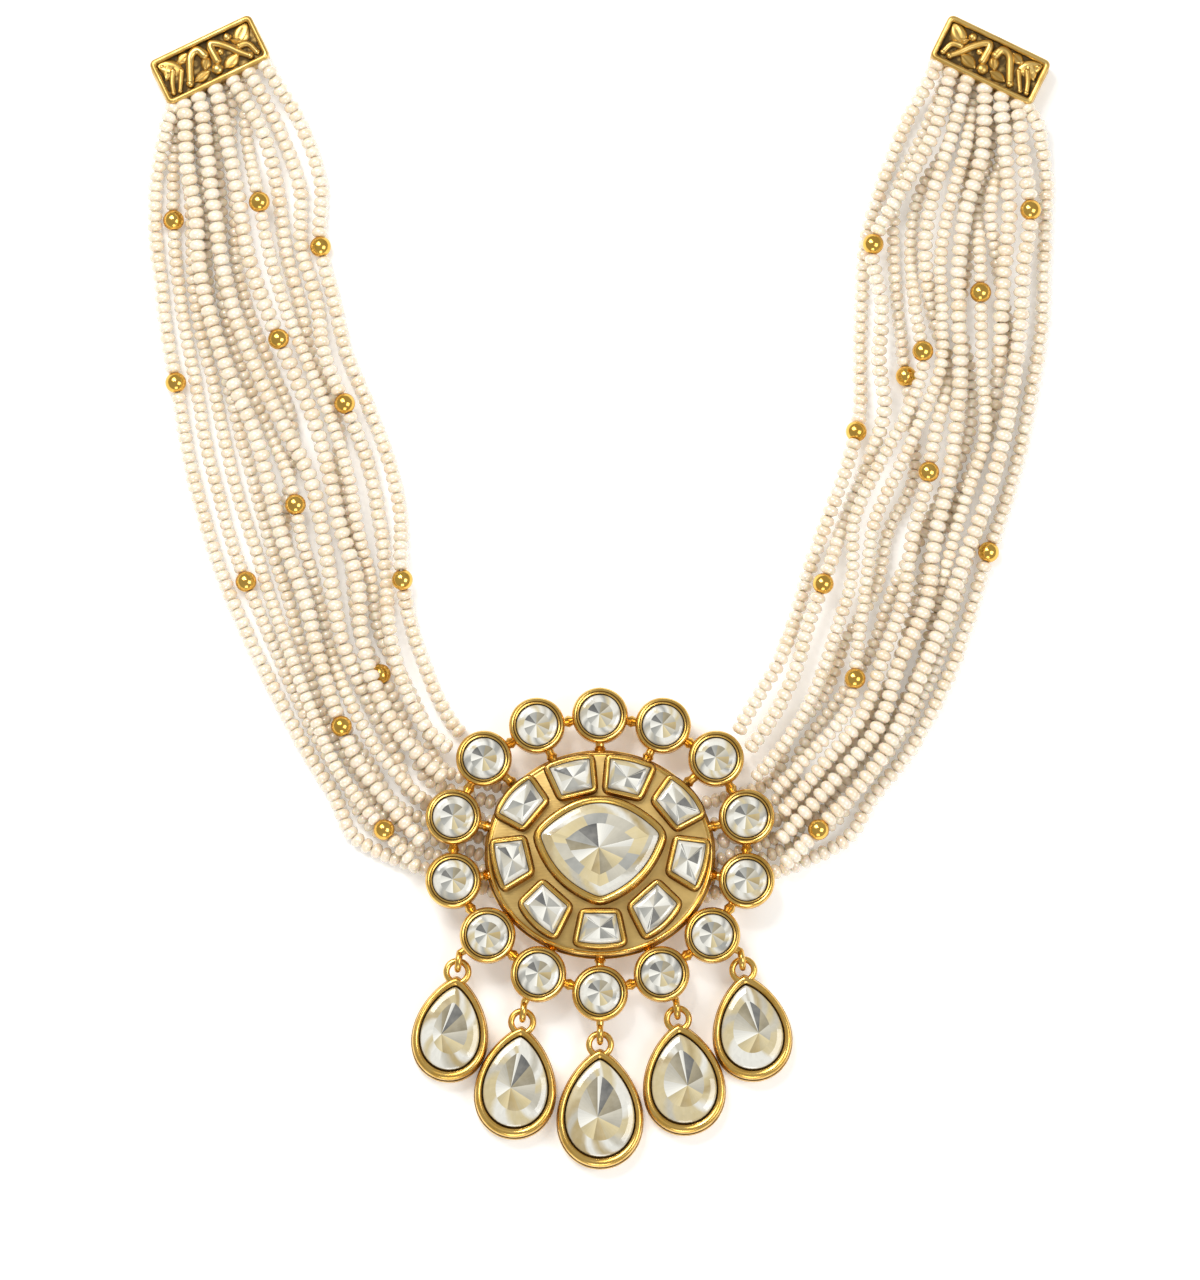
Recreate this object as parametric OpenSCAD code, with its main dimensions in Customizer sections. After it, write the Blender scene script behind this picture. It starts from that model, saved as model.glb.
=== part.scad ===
// Kundan choker: thirteen braided pearl strands, a stone set oval pendant with
// five pear drops and two cast end plates, lying flat. Origin: middle of the
// pendant's back. +Y runs to the end plates, +Z is the worn outside.

/* [Pearl strands] */
// Radius of the thick strands
thick_r = 1.55; // [1.45:0.05:1.55]
// Radius of the middling strands
middle_r = 1.4; // [1.3:0.05:1.4]
// Radius of the thin strands
thin_r = 1.2; // [1.1:0.05:1.2]
// Radius of the bare thread
thread_r = 0.3; // [0.2:0.05:0.35]
// Height of the middle of the lower layer
lower_z = 1.7; // [1.7:0.05:1.8]
// Height of the middle of the upper layer
upper_z = 5.1; // [5.0:0.05:5.2]

/* [Gold beads] */
// Radius of a gold bead
gold_r = 1.9; // [1.7:0.05:1.9]
// Radius of its bore
gold_bore_r = 0.5; // [0.45:0.05:0.6]

/* [End plates] */
// Length of an end plate
plate_l = 20.2; // [20:0.2:22]
// Width of an end plate
plate_w = 8.8; // [8.6:0.2:9.4]
// Thickness of an end plate
plate_t = 6.2; // [6.2:0.1:7]
// Width of its rolled border
border_w = 1; // [0.8:0.1:1.2]
// Diameter of the tunnel that the tie cord runs through
tunnel_d = 2; // [1.6:0.1:2.2]

/* [Pendant] */
// Half length of the oval along X
oval_a = 20.1; // [19.8:0.1:20.4]
// Half length of the oval along Y
oval_b = 18.2; // [18:0.1:18.5]
// Height of the oval's satin top
oval_z = 7; // [6.8:0.1:7.4]
// Outer radius of a round cup
cup_r = 4.95; // [4.8:0.05:5]
// Height of a round cup's rim
cup_z = 8.4; // [8.2:0.1:9]
// Width of a bezel's rim
rim_w = 0.65; // [0.5:0.05:0.8]
// Height of the keystone bezels
key_z = 9; // [8.8:0.1:9.4]
// Height of the centre bezel
centre_z = 9.5; // [9.3:0.1:10]

/* [Drops] */
// Height of a drop's setting
drop_z = 4.6; // [4.4:0.1:5]
// Width of a drop's rim
drop_rim_w = 1.5; // [1.2:0.1:1.6]
// Radius to the middle of a jump ring's wire
ring_r = 1.95; // [1.9:0.05:2]
// Radius of a jump ring's wire
ring_wire_r = 0.57; // [0.5:0.01:0.6]

/* [Hidden] */

left = -1;
right = 1;

// Stations down each side of the neck: middle x, middle y and the angle of the
// line across the strands, in degrees from the X axis, mirrored on the right
LEFT_STATIONS = [
    [-66.9, 136.6, 26], [-66, 127, 20], [-65, 117, 15], [-64, 107, 13], [-62, 97, 13],
    [-59.5, 87, 14], [-56.5, 77, 15], [-54, 67, 14], [-52, 57, 13], [-50, 47, 15],
    [-47, 37, 22], [-43, 27, 30], [-38, 18, 38], [-33, 10.5, 45]];
RIGHT_STATIONS = [
    [67.4, 136.5, 26], [66, 127, 20], [64.5, 117, 12], [63, 107, 8], [62.5, 97, 6],
    [61.8, 87, 8], [60.2, 77, 14], [57.5, 67, 18], [54.5, 57, 18], [51.5, 47, 20],
    [48, 37, 24], [43.5, 27, 32], [38, 18, 38], [33, 10.5, 45]];

// Each strand: radius, then for the left and for the right side the place of
// its hole along the end plate, its distance across at each station, outer side
// negative, its layer there, 0 lower and 1 upper, and the points where it ends
// at the pendant
STRANDS = [
    // strand a
    [middle_r,
     -9.3,
     [-11.9, -14.3, -15.3, -15.1, -15.9, -16.5, -17.8, -17.8, -16.9, -15.0, -13.2, -12.1, -11.8],
     [1, 0, 0, 0, 0, 0, 0, 0, 0, 0, 0, 0, 0],
     [[-41.5, 1.8], [-18.2, -6.4]],
     -9.3,
     [-12.3, -14.9, -15.7, -16.7, -16.7, -15.8, -15.5, -15.4, -14.9, -15.0, -14.9, -14.2, -12.9],
     [1, 0, 0, 0, 0, 0, 0, 0, 0, 0, 0, 0, 0],
     [[41.8, 1.6], [18.0, -7.3]]],
    // strand b
    [thin_r,
     -9.2,
     [-10.1, -11.2, -11.8, -12.0, -12.5, -13.0, -14.3, -14.2, -13.4, -11.4, -10.0, -9.3, -8.9],
     [0, 0, 0, 0, 0, 0, 0, 0, 0, 0, 0, 0, 0],
     [[-39.2, 4.2], [-18.8, -3.4]],
     -2.3,
     [-2.3, -1.2, -0.8, -2.8, -1.8, -4.5, -5.9, -4.2, -2.5, -0.5, -0.4, 1.3, 2.4],
     [0, 0, 0, 0, 0, 0, 0, 0, 0, 0, 0, 0, 0],
     [[32.6, 10.8], [18.2, 5.0]]],
    // strand c
    [thick_r,
     -7.4,
     [-8.3, -8.4, -7.6, -7.8, -7.5, -6.6, -5.3, -5.1, -4.6, -2.8, -3.4, -4.3, -5.1],
     [1, 1, 1, 1, 1, 1, 1, 1, 1, 1, 1, 1, 1],
     [[-31.4, 2.0]],
     -7.5,
     [-8.5, -10.7, -12.8, -12.8, -12.8, -12.2, -12.0, -12.0, -11.2, -10.9, -10.3, -10.5, -9.9],
     [1, 1, 1, 1, 1, 1, 1, 1, 1, 1, 1, 1, 1],
     [[32.6, -1.9]]],
    // strand d
    [thin_r,
     -7.0,
     [-7.4, -8.4, -8.5, -9.2, -9.9, -9.9, -10.9, -10.9, -9.7, -8.6, -8.0, -8.2, -8.8],
     [0, 0, 0, 0, 0, 0, 0, 0, 0, 0, 1, 1, 1],
     [[-32.4, -2.5]],
     -7.4,
     [-7.5, -6.2, -5.5, -8.3, -10.5, -12.6, -12.4, -12.2, -11.8, -12.0, -12.2, -11.4, -10.0],
     [0, 0, 1, 0, 0, 0, 0, 0, 0, 0, 0, 0, 0],
     [[39.2, 4.3], [18.9, -4.3]]],
    // strand e
    [thick_r,
     -4.5,
     [-5.0, -4.6, -4.2, -3.7, -3.2, -1.8, -0.1, 2.3, 2.6, 2.4, 1.4, 1.9, 1.6],
     [1, 1, 1, 1, 1, 1, 1, 1, 1, 1, 1, 0, 0],
     [[-32.6, 10.4], [-18.6, 5.7]],
     -4.3,
     [-4.9, -7.1, -8.9, -9.4, -9.2, -9.5, -9.0, -7.4, -5.4, -5.4, -5.9, -5.7, -4.2],
     [1, 1, 1, 1, 1, 0, 0, 0, 0, 0, 0, 0, 0],
     [[35.0, 8.4], [19.2, 1.7]]],
    // strand f
    [thin_r,
     0.6,
     [0.7, -0.3, -0.4, -1.2, -0.6, 0.9, 1.5, -1.6, -4.2, -3.1, -3.5, -4.1, -3.4],
     [0, 0, 0, 0, 0, 0, 0, 0, 0, 0, 0, 0, 0],
     [[-35.0, 8.2], [-19.2, 2.6]],
     3.2,
     [3.2, 3.6, 7.6, 7.4, 6.2, 4.15, 5.9, 8.2, 9.6, 7.1, 6.6, 5.8, 5.3],
     [0, 0, 0, 0, 1, 1, 1, 1, 1, 1, 1, 1, 1],
     [[27.4, 13.3]]],
    // strand g
    [thick_r,
     -1.3,
     [-1.6, -0.5, 0.4, 1.2, 2.5, 4.1, 5.4, 5.8, 5.9, 7.0, 5.0, 3.9, 4.1],
     [1, 1, 1, 1, 1, 1, 1, 1, 1, 1, 1, 1, 1],
     [[-27.6, 13.4]],
     -1.0,
     [-1.6, -2.6, -1.3, -1.2, -1.6, -2.6, -3.4, -4.6, -5.3, -7.0, -6.0, -7.2, -5.9],
     [1, 1, 1, 1, 1, 1, 1, 1, 1, 1, 1, 1, 1],
     [[31.8, 2.4]]],
    // strand h
    [thin_r,
     3.4,
     [3.4, 3.0, 4.0, 4.9, 5.8, 7.2, 8.3, 9.1, 8.9, 9.4, 8.2, 9.2, 8.7],
     [0, 0, 1, 1, 1, 1, 1, 1, 1, 0, 0, 0, 0],
     [[-27.7, 15.4], [-14.4, 11.6]],
     6.2,
     [6.2, 8.5, 11.5, 10.5, 9.2, 7.4, 4.5, 1.6, 3.2, 2.4, 4.4, 4.0, 5.6],
     [0, 0, 0, 0, 0, 0, 0, 0, 0, 0, 0, 0, 0],
     [[30.2, 13.2], [16.6, 9.0]]],
    // strand i
    [middle_r,
     2.1,
     [2.2, 6.2, 7.6, 7.9, 8.5, 8.2, 9.5, 8.0, 7.4, 6.2, 4.9, 6.0, 5.4],
     [1, 1, 0, 0, 0, 0, 0, 0, 0, 0, 0, 0, 0],
     [[-29.9, 13.2], [-16.8, 8.9]],
     2.3,
     [2.4, 3.5, 5.1, 4.95, 3.0, -0.6, 0, -0.8, -1.2, -2.8, -2.8, -3.8, -2.6],
     [1, 1, 1, 1, 0, 0, 1, 1, 1, 1, 1, 1, 1],
     [[32.2, 7.2]]],
    // strand j
    [middle_r,
     5.3,
     [5.5, 9.2, 11.6, 10.8, 11.6, 10.6, 11.6, 13.0, 13.0, 12.3, 10.1, 8.8, 8.4],
     [1, 0, 0, 0, 0, 1, 1, 0, 0, 0, 1, 1, 1],
     [[-26.6, 18.6]],
     5.4,
     [5.5, 6.8, 10.7, 14.4, 12.2, 12.1, 9.7, 10.3, 11.3, 11.5, 11.7, 10.4, 9.7],
     [1, 1, 1, 1, 1, 1, 1, 0, 0, 1, 1, 1, 1],
     [[26.4, 18.6]]],
    // strand k
    [middle_r,
     8.4,
     [8.7, 13.2, 15.5, 14.2, 14.6, 14.5, 15.5, 16.7, 16.8, 15.1, 14.1, 13.7, 13.0],
     [1, 0, 0, 0, 0, 0, 0, 0, 0, 1, 0, 0, 0],
     [[-24.6, 21.6]],
     8.5,
     [8.7, 12.2, 14.5, 15.7, 15.8, 15.5, 14.1, 13.6, 14.1, 14.8, 14.3, 13.8, 13.8],
     [1, 0, 0, 0, 0, 0, 0, 1, 1, 0, 0, 1, 1],
     [[24.4, 21.6]]],
    // strand m
    [thin_r,
     -2.0,
     [-2.0, -3.1, -3.0, -4.1, -4.9, -4.2, -2.8, -1.3, -1.2, -0.4, -1.1, -1.2, -0.9],
     [0, 0, 0, 0, 0, 0, 0, 1, 1, 0, 0, 1, 1],
     [[-31.4, 9.6]],
     0.4,
     [0.4, 0.6, 1.8, 2.1, 1.4, 1.05, 3.1, 4.7, 6.05, 4.3, 2.2, -0.9, 0.4],
     [0, 1, 1, 1, 1, 1, 1, 1, 1, 1, 1, 1, 1],
     [[31.0, 11.2]]],
    // strand n
    [thin_r,
     -4.5,
     [-4.7, -5.7, -5.8, -6.7, -7.5, -7.3, -7.9, -7.6, -6.9, -5.7, -6.0, -6.7, -6.0],
     [0, 0, 0, 0, 0, 0, 0, 0, 0, 0, 0, 0, 0],
     [[-37.1, 6.2], [-19.2, -0.4]],
     -4.9,
     [-4.9, -3.7, -3.4, -5.0, -5.6, -6.6, -8.7, -8.4, -8.4, -8.95, -9.7, -8.8, -7.3],
     [0, 0, 0, 1, 1, 1, 1, 1, 1, 0, 0, 0, 0],
     [[37.3, 6.2], [19.4, -1.4]]]];
strand_a_row = 0;
strand_b_row = 1;
strand_c_row = 2;
strand_d_row = 3;
strand_e_row = 4;
strand_f_row = 5;
strand_g_row = 6;
strand_h_row = 7;
strand_i_row = 8;
strand_j_row = 9;
strand_k_row = 10;
strand_m_row = 11;
strand_n_row = 12;

// Gold beads: strand and station number along it
LEFT_GOLD = [
    [strand_b_row, 1.97], [strand_h_row, 2.1], [strand_k_row, 3.07],
    [strand_g_row, 4.55], [strand_a_row, 4.82], [strand_j_row, 5.93],
    [strand_m_row, 7.42], [strand_b_row, 8.5], [strand_k_row, 9.2],
    [strand_i_row, 10.72], [strand_c_row, 11.2], [strand_d_row, 12.5]];
RIGHT_GOLD = [
    [strand_c_row, 1.86], [strand_j_row, 2.96], [strand_n_row, 3.57],
    [strand_f_row, 4.74], [strand_h_row, 5.2], [strand_k_row, 6.5],
    [strand_i_row, 6.84], [strand_a_row, 7.8], [strand_j_row, 9.28],
    [strand_m_row, 10.56], [strand_c_row, 12.5]];

// Columns of a strand
radius_col = 0;
left_cols = [1, 2, 3, 4];
right_cols = [5, 6, 7, 8];

// Middle of an end plate, its turn and where the strands' holes lie in it
plate_x = 69.95;
plate_y = 142.75;
plate_turn = 26;
hole_r = 0.55;
hole_depth = 1.6;
plate_corner_r = 1.1;
field_corner_r = 0.6;
tunnel_y = 2.2;
tunnel_z = 2.5;
relief_root = 0.3;
hole_high_z = 4.3;
thread_gap = 0.4;

tube_sides = 8;
swell_part = 0.65;
// How far a bead is lifted, and over how many stations either side
gold_lift = 0.3;
lift_reach = 0.7;
neck_half = 2.05;
neck_taper = 0.45;
// Stations between rings, and the room a ring leaves at a bead's neck
ring_step = 0.5;
neck_room = 0.4;
no_bead = -9;

// The strand's own columns on one side of the neck
function cols(side) = side == left ? left_cols : right_cols;
function stations(side) = side == left ? LEFT_STATIONS : RIGHT_STATIONS;
function golds(side) = side == left ? LEFT_GOLD : RIGHT_GOLD;
function layer_z(layer) = layer == 1 ? upper_z : lower_z;
function hole_z(row, side) = row[cols(side)[2]][0] == 1 ? hole_high_z : lower_z;
function last_layer(strand, side) = let (layers = STRANDS[strand][cols(side)[2]]) layers[len(layers) - 1];

// A point d in front of an end plate's inner long side, u along it
function plate_point(side, u, d, z) = [
    side * (plate_x - u * cos(plate_turn) - (plate_w / 2 + d) * sin(plate_turn)),
    plate_y + u * sin(plate_turn) - (plate_w / 2 + d) * cos(plate_turn),
    z];

// The points that one half of a strand runs through, station 0 first
function knots(strand, side) = let (row = STRANDS[strand], c = cols(side), st = stations(side))
    concat(
        [for (i = [0 : len(row[c[1]]) - 1])
            [st[i].x - side * cos(st[i].z) * row[c[1]][i],
             st[i].y + sin(st[i].z) * row[c[1]][i],
             layer_z(row[c[2]][i])]],
        [for (p = row[c[3]]) [p.x, p.y, layer_z(last_layer(strand, side))]]);

// A smooth curve through the knots, straight in height between them
function curve(p, f, a, b) = 0.5 * (2 * p[1] + (p[2] - p[0]) * f
    + (2 * p[0] - 5 * p[1] + 4 * p[2] - p[3]) * f * f
    + (3 * p[1] - p[0] - 3 * p[2] + p[3]) * f * f * f);
function lift(strand, side, t) = max([for (g = golds(side))
    g[0] == strand ? gold_lift * max(0, 1 - abs(t - g[1]) / lift_reach) : 0]);
function along(k, t) = let (
    last = len(k) - 1,
    i = min(floor(t), last - 1),
    f = t - i,
    p = [k[max(i - 1, 0)], k[i], k[i + 1], k[min(i + 2, last)]],
    q = curve(p, f))
    [q.x, q.y, k[i].z + (k[i + 1].z - k[i].z) * f];
function route(strand, side, k, t) = along(k, t) + [0, 0, lift(strand, side, t)];

// Millimetres for each whole station at t
function pace(k, t) = let (d = 0.05, a = max(t - d, 0), b = min(t + d, len(k) - 1))
    norm(along(k, b) - along(k, a)) / (b - a);

// Rings of one half: middle and radius, from the end plate to the pendant
function half_rings(strand, side) = let (
    k = knots(strand, side),
    row = STRANDS[strand],
    r = row[radius_col],
    start = plate_point(side, row[cols(side)[0]], -hole_depth + thread_gap, hole_z(row, side)),
    edge = plate_point(side, row[cols(side)[0]], thread_gap, hole_z(row, side)),
    swell = (edge + k[0]) / 2,
    beads = [for (g = golds(side)) if (g[0] == strand) g[1]],
    reach = neck_half + neck_taper,
    last = len(k) - 1)
    concat(
        [[start, thread_r], [edge, thread_r], [swell, swell_part * r]],
        [for (t = [0 : ring_step : last])
            let (next = min(t + ring_step, last))
            each concat(
                min([for (b = concat(beads, [no_bead])) abs(t - b) * pace(k, t)]) > reach + neck_room
                    ? [[route(strand, side, k, t), r]] : [],
                [for (b = beads) if (b >= t && b < t + ring_step)
                    let (m = pace(k, b))
                    each [for (e = [[-reach, r], [-neck_half, thread_r], [neck_half, thread_r], [reach, r]])
                        [route(strand, side, k, b + e[0] / m), e[1]]]])]);

// A tube swept through rings of [middle, radius]
module tube(rings) {
    n = len(rings);
    s = tube_sides;
    ways = [for (i = [0 : n - 1])
        let (w = rings[min(i + 1, n - 1)][0] - rings[max(i - 1, 0)][0]) w / norm(w)];
    points = [for (i = [0 : n - 1]) let (
        side_way = cross(ways[i], [0, 0, 1]) / norm(cross(ways[i], [0, 0, 1])),
        up_way = cross(side_way, ways[i]))
        for (j = [0 : s - 1]) let (a = (j + 0.5) * 360 / s)
            rings[i][0] + rings[i][1] * (cos(a) * side_way + sin(a) * up_way)];
    walls = [for (i = [0 : n - 2]) for (j = [0 : s - 1]) let (j2 = (j + 1) % s)
        each [[i * s + j, i * s + j2, (i + 1) * s + j2], [i * s + j, (i + 1) * s + j2, (i + 1) * s + j]]];
    first_cap = [for (j = [s - 1 : -1 : 0]) j];
    last_cap = [for (j = [0 : s - 1]) (n - 1) * s + j];
    polyhedron(points, concat([first_cap], walls, [last_cap]));
}

module strand(row) {
    color("ivory") {
        tube(half_rings(row, left));
        tube(half_rings(row, right));
    }
}

module gold_bead(strand, side, t) {
    k = knots(strand, side);
    m = pace(k, t);
    way = route(strand, side, k, t + neck_half / m) - route(strand, side, k, t - neck_half / m);
    middle = (route(strand, side, k, t + neck_half / m) + route(strand, side, k, t - neck_half / m)) / 2;
    translate(middle)
        rotate([0, acos(way.z / norm(way)), atan2(way.y, way.x)])
            difference() {
                sphere(r = gold_r, $fn = 48);
                cylinder(h = 3 * gold_r, r = gold_bore_r, center = true, $fn = 24);
            }
}

module gold_beads(side) {
    color("goldenrod")
        for (g = golds(side)) gold_bead(g[0], side, g[1]);
}

// A rectangle with round corners
module round_box(l, w, r) {
    square([l - 2 * r, w], center = true);
    square([l, w - 2 * r], center = true);
    for (x = [-1, 1], y = [-1, 1]) translate([x * (l / 2 - r), y * (w / 2 - r)]) circle(r = r, $fn = 32);
}

// A raised curved stem: part of a ring from angle a to angle b
module stem(x, y, r, a, b, w = 0.8) {
    translate([x, y]) {
        intersection() {
            difference() {
                circle(r = r + w / 2, $fn = 40);
                circle(r = r - w / 2, $fn = 40);
            }
            polygon(concat([[0, 0]], [for (f = [0 : 1 / 6 : 1]) let (turn = a + (b - a) * f)
                2 * r * [cos(turn), sin(turn)]]));
        }
        for (e = [a, b]) translate(r * [cos(e), sin(e)]) circle(r = w / 2 + 0.1, $fn = 24);
    }
}

// A pointed leaf between two arcs
module leaf(x, y, turn, l, w) {
    r = (l * l / 4 + w * w / 4) / w;
    translate([x, y]) rotate(turn) intersection() {
        translate([0, r - w / 2]) circle(r = r, $fn = 48);
        translate([0, w / 2 - r]) circle(r = r, $fn = 48);
    }
}

// Scrolls and leaves of the left plate, outer end at -X
relief_z = plate_t - 0.35;
recess_z = plate_t - 1.1;
module scrolls() {
    for (a = [45, 135]) leaf(-7.2, 0.2, a, 4.2, 1.4);
    stem(-5.2, -0.6, 1.9, -80, 60);
    leaf(-5.0, 2.2, 20, 2.0, 1.1);
    stem(-1.9, 0.2, 1.7, 0, 180);
    translate([-1.9, -2.2]) circle(r = 0.7, $fn = 24);
    leaf(-2.0, -0.2, 90, 2.4, 1.1);
    leaf(0.6, 2.4, -25, 2.6, 1.2);
    leaf(1.0, -2.2, 30, 2.6, 1.3);
    stem(3.2, 0.6, 2.2, 150, 290);
    leaf(3.4, 1.9, -50, 3.0, 1.1);
    translate([4.4, -0.2]) circle(r = 0.75, $fn = 24);
    for (a = [40, 130]) leaf(7.1, 1.5, a, 3.4, 1.2);
    stem(6.6, -1.4, 1.5, 170, 330);
    leaf(5.7, -2.6, -10, 2.2, 0.9);
}

module plate_body(side) {
    difference() {
        linear_extrude(height = plate_t) round_box(plate_l, plate_w, plate_corner_r);
        translate([0, 0, recess_z]) linear_extrude(height = plate_t)
            round_box(plate_l - 2 * border_w, plate_w - 2 * border_w, field_corner_r);
        translate([0, tunnel_y, tunnel_z]) rotate([0, 90, 0])
            cylinder(h = plate_l + 2, d = tunnel_d, center = true, $fn = 32);
        for (row = STRANDS)
            translate([row[cols(side)[0]], -plate_w / 2 + hole_depth, hole_z(row, side)]) rotate([90, 0, 0])
                cylinder(h = hole_depth + 1, r = hole_r, $fn = 24);
    }
    translate([0, 0, recess_z - relief_root])
        linear_extrude(height = relief_z - recess_z + relief_root) scrolls();
}

module end_plate(side) {
    color("darkgoldenrod")
        translate([side * plate_x, plate_y, 0])
            rotate(-side * plate_turn)
                mirror([side == right ? 1 : 0, 0, 0]) plate_body(side);
}

// Round cups from the top one clockwise: middle of each
CUPS = [[0, 24.6], [11.2, 22.8], [20.6, 16.9], [26, 6.5], [26, -4.8], [19.9, -14.5], [10.9, -21.4],
        [0, -24.8], [-10.9, -21.4], [-19.9, -14.5], [-26, -4.8], [-26, 6.5], [-20.6, 16.9], [-11.2, 22.8]];
cup_floor_z = 6.2;
cup_base_z = 3.9;
cup_bore_r = 3.75;
bar_r = 0.65;
bar_z = 5.3;
// How far a bar's end lies inside the wall of its cup, and where its inner end lies
bar_root = 0.6;
bar_inner = 16.5;
// Half lengths and top of the lac filled core
core_a = 17.5;
core_b = 15.6;
core_z = 4.6;
// The oval's foot: its underside, top and how far it stands out
foot_low_z = 4.4;
foot_z = 5.1;
foot_out = 0.4;
oval_low_z = 4.9;
// The step round the oval's top edge
step_in = 0.3;
step_down = 0.35;
bezel_root = 0.5;

// Corners of the keystone bezels right of the middle, anticlockwise, and how
// far each edge bulges outwards
KEYSTONES = [
    [[[0.5, 10.9], [7.3, 9.3], [10.1, 15.5], [1.1, 17.6]], [0, 0, 0.5, 0]],
    [[[13.5, 3.8], [18.9, 6.7], [12.3, 14.2], [8.9, 9.35]], [0, 1, 0, 0]],
    [[[11.6, -3.6], [17.2, -7.0], [19.6, 2.4], [13.2, 3.2]], [0, 0.6, 0, 0]],
    [[[4.7, -9.3], [7.8, -15.5], [14.7, -8.8], [10.2, -4.4]], [0, 0.9, 0, 0]],
    [[[-4.85, -16.3], [4.85, -16.3], [3.5, -9.9], [-3.5, -9.9]], [0.7, 0, 0, 0]]];
middle_keystone = 4;
CENTRE_CORNERS = [[0, -9.2], [12, 3.7], [-12, 3.7]];
CENTRE_BULGES = [2.4, 6.4, 2.4];
edge_steps = 3;
centre_steps = 7;

// An outline of corners joined by edges that bulge
function outline(corners, bulges, steps) = [for (i = [0 : len(corners) - 1]) let (
    a = corners[i],
    b = corners[(i + 1) % len(corners)],
    out = [b.y - a.y, a.x - b.x] / norm(b - a))
    for (s = [0 : (bulges[i] == 0 ? 1 : steps) - 1]) let (f = s / steps)
        a + (b - a) * f + out * bulges[i] * 4 * f * (1 - f)];
// The same outline drawn in by d
function inset(points, d) = let (n = len(points)) [for (i = [0 : n - 1]) let (
    a = points[(i + n - 1) % n],
    b = points[i],
    c = points[(i + 1) % n],
    u = [a.y - b.y, b.x - a.x] / norm(b - a),
    v = [b.y - c.y, c.x - b.x] / norm(c - b))
    b + d * (u + v) / (1 + u * v)];
function ellipse(a, b, n) = [for (i = [0 : n - 1]) [a * cos(i * 360 / n), b * sin(i * 360 / n)]];
function mirrored(points) = [for (i = [len(points) - 1 : -1 : 0]) [-points[i].x, points[i].y]];
function keystone_outline(i) = outline(KEYSTONES[i][0], KEYSTONES[i][1], edge_steps);
function centre_outline() = outline(CENTRE_CORNERS, CENTRE_BULGES, centre_steps);
// Outlines of the nine keystones, clockwise from the one right of the top
function keystones() = concat(
    [for (i = [0 : middle_keystone]) keystone_outline(i)],
    [for (i = [middle_keystone - 1 : -1 : 0]) mirrored(keystone_outline(i))]);

module slab(points, z0, z1) {
    translate([0, 0, z0]) linear_extrude(height = z1 - z0) polygon(points);
}

module cup() {
    rotate_extrude($fn = 48) polygon([
        [0, cup_base_z], [cup_r - 0.7, cup_base_z], [cup_r, cup_base_z + 0.9], [cup_r, cup_z - 0.7],
        [cup_r - 0.25, cup_z - 0.15], [cup_r - 0.65, cup_z], [cup_bore_r, cup_z - 0.25],
        [cup_bore_r, cup_floor_z], [0, cup_floor_z]]);
}

// A round bar from a to b at one height
module bar(a, b, z, r) {
    translate([a.x, a.y, z]) rotate([0, 90, atan2(b.y - a.y, b.x - a.x)])
        cylinder(h = norm(b - a), r = r, $fn = 24);
}

module torus(big_r, wire_r) {
    rotate_extrude($fn = 48) translate([big_r, 0]) circle(r = wire_r, $fn = 24);
}

// Drops from the left: the cup that each hangs from, the middle of its jump
// ring, the turn of its axis, its width and its length
DROPS = [
    [9, [-25.3, -20.8], -6.6, 13.7, 19.0],
    [8, [-13.8, -29.7], -5.7, 14.65, 20.2],
    [7, [0, -33.7], 0, 15.5, 21.4],
    [6, [13.8, -29.2], 5.3, 14.75, 20.0],
    [5, [25.4, -20.5], 7.9, 14.2, 19.2]];
loop_r = 1.5;
loop_wire_r = 0.5;
// The stub that carries a loop: its radius, its height over the cup's base and its root in the loop
stub_r = 0.45;
stub_up = 0.75;
stub_root = 0.1;
ring_z = 3.9;
// Distance from the ring's middle to the drop's tip
tip_drop = 0.6;

function drop_way(row) = let (v = row[1] - CUPS[row[0]]) v / norm(v);
module hanging_loop(row) {
    cup_middle = CUPS[row[0]];
    way = drop_way(row);
    middle = row[1] - way * ring_r;
    translate([middle.x, middle.y, ring_z]) rotate([90, 0, atan2(way.y, way.x)]) torus(loop_r, loop_wire_r);
    bar(cup_middle + way * (cup_r - bar_root), middle - way * (loop_r - stub_root),
        cup_base_z + stub_up, stub_r);
}

module pendant() {
    color("goldenrod") difference() {
        union() {
            slab(ellipse(core_a, core_b, 48), 0, core_z);
            slab(ellipse(oval_a + foot_out, oval_b + foot_out, 60), foot_low_z, foot_z);
            slab(ellipse(oval_a, oval_b, 60), oval_low_z, oval_z - step_down);
            slab(ellipse(oval_a - step_in, oval_b - step_in, 60), oval_low_z, oval_z);
            for (c = CUPS) translate([c.x, c.y, 0]) cup();
            for (i = [0 : len(CUPS) - 1]) {
                c = CUPS[i];
                next = CUPS[(i + 1) % len(CUPS)];
                way = (next - c) / norm(next - c);
                bar(c + way * (cup_r - bar_root), next - way * (cup_r - bar_root), bar_z, bar_r);
                bar(c * (1 - (cup_r - bar_root) / norm(c)), c * (bar_inner / norm(c)), bar_z, bar_r);
            }
            for (k = keystones()) slab(k, oval_z - bezel_root, key_z);
            slab(centre_outline(), oval_z - bezel_root, centre_z);
            for (d = DROPS) hanging_loop(d);
        }
        for (k = keystones()) slab(inset(k, rim_w), oval_z, key_z + 1);
        slab(inset(centre_outline(), rim_w), oval_z, centre_z + 1);
    }
}

seat_gap = 0.12;
// A stone's room under it, its table over the rim and the part of the outline that the table takes
under_gap = 0.1;
table_up = 0.2;
high_table_up = 0.3;
table_part = 0.6;
round_table_part = 0.62;
// Girdles below the rims
centre_down = 0.7;
keystone_down = 0.6;
round_down = 0.7;
drop_down = 0.5;
round_sides = 10;

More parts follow.
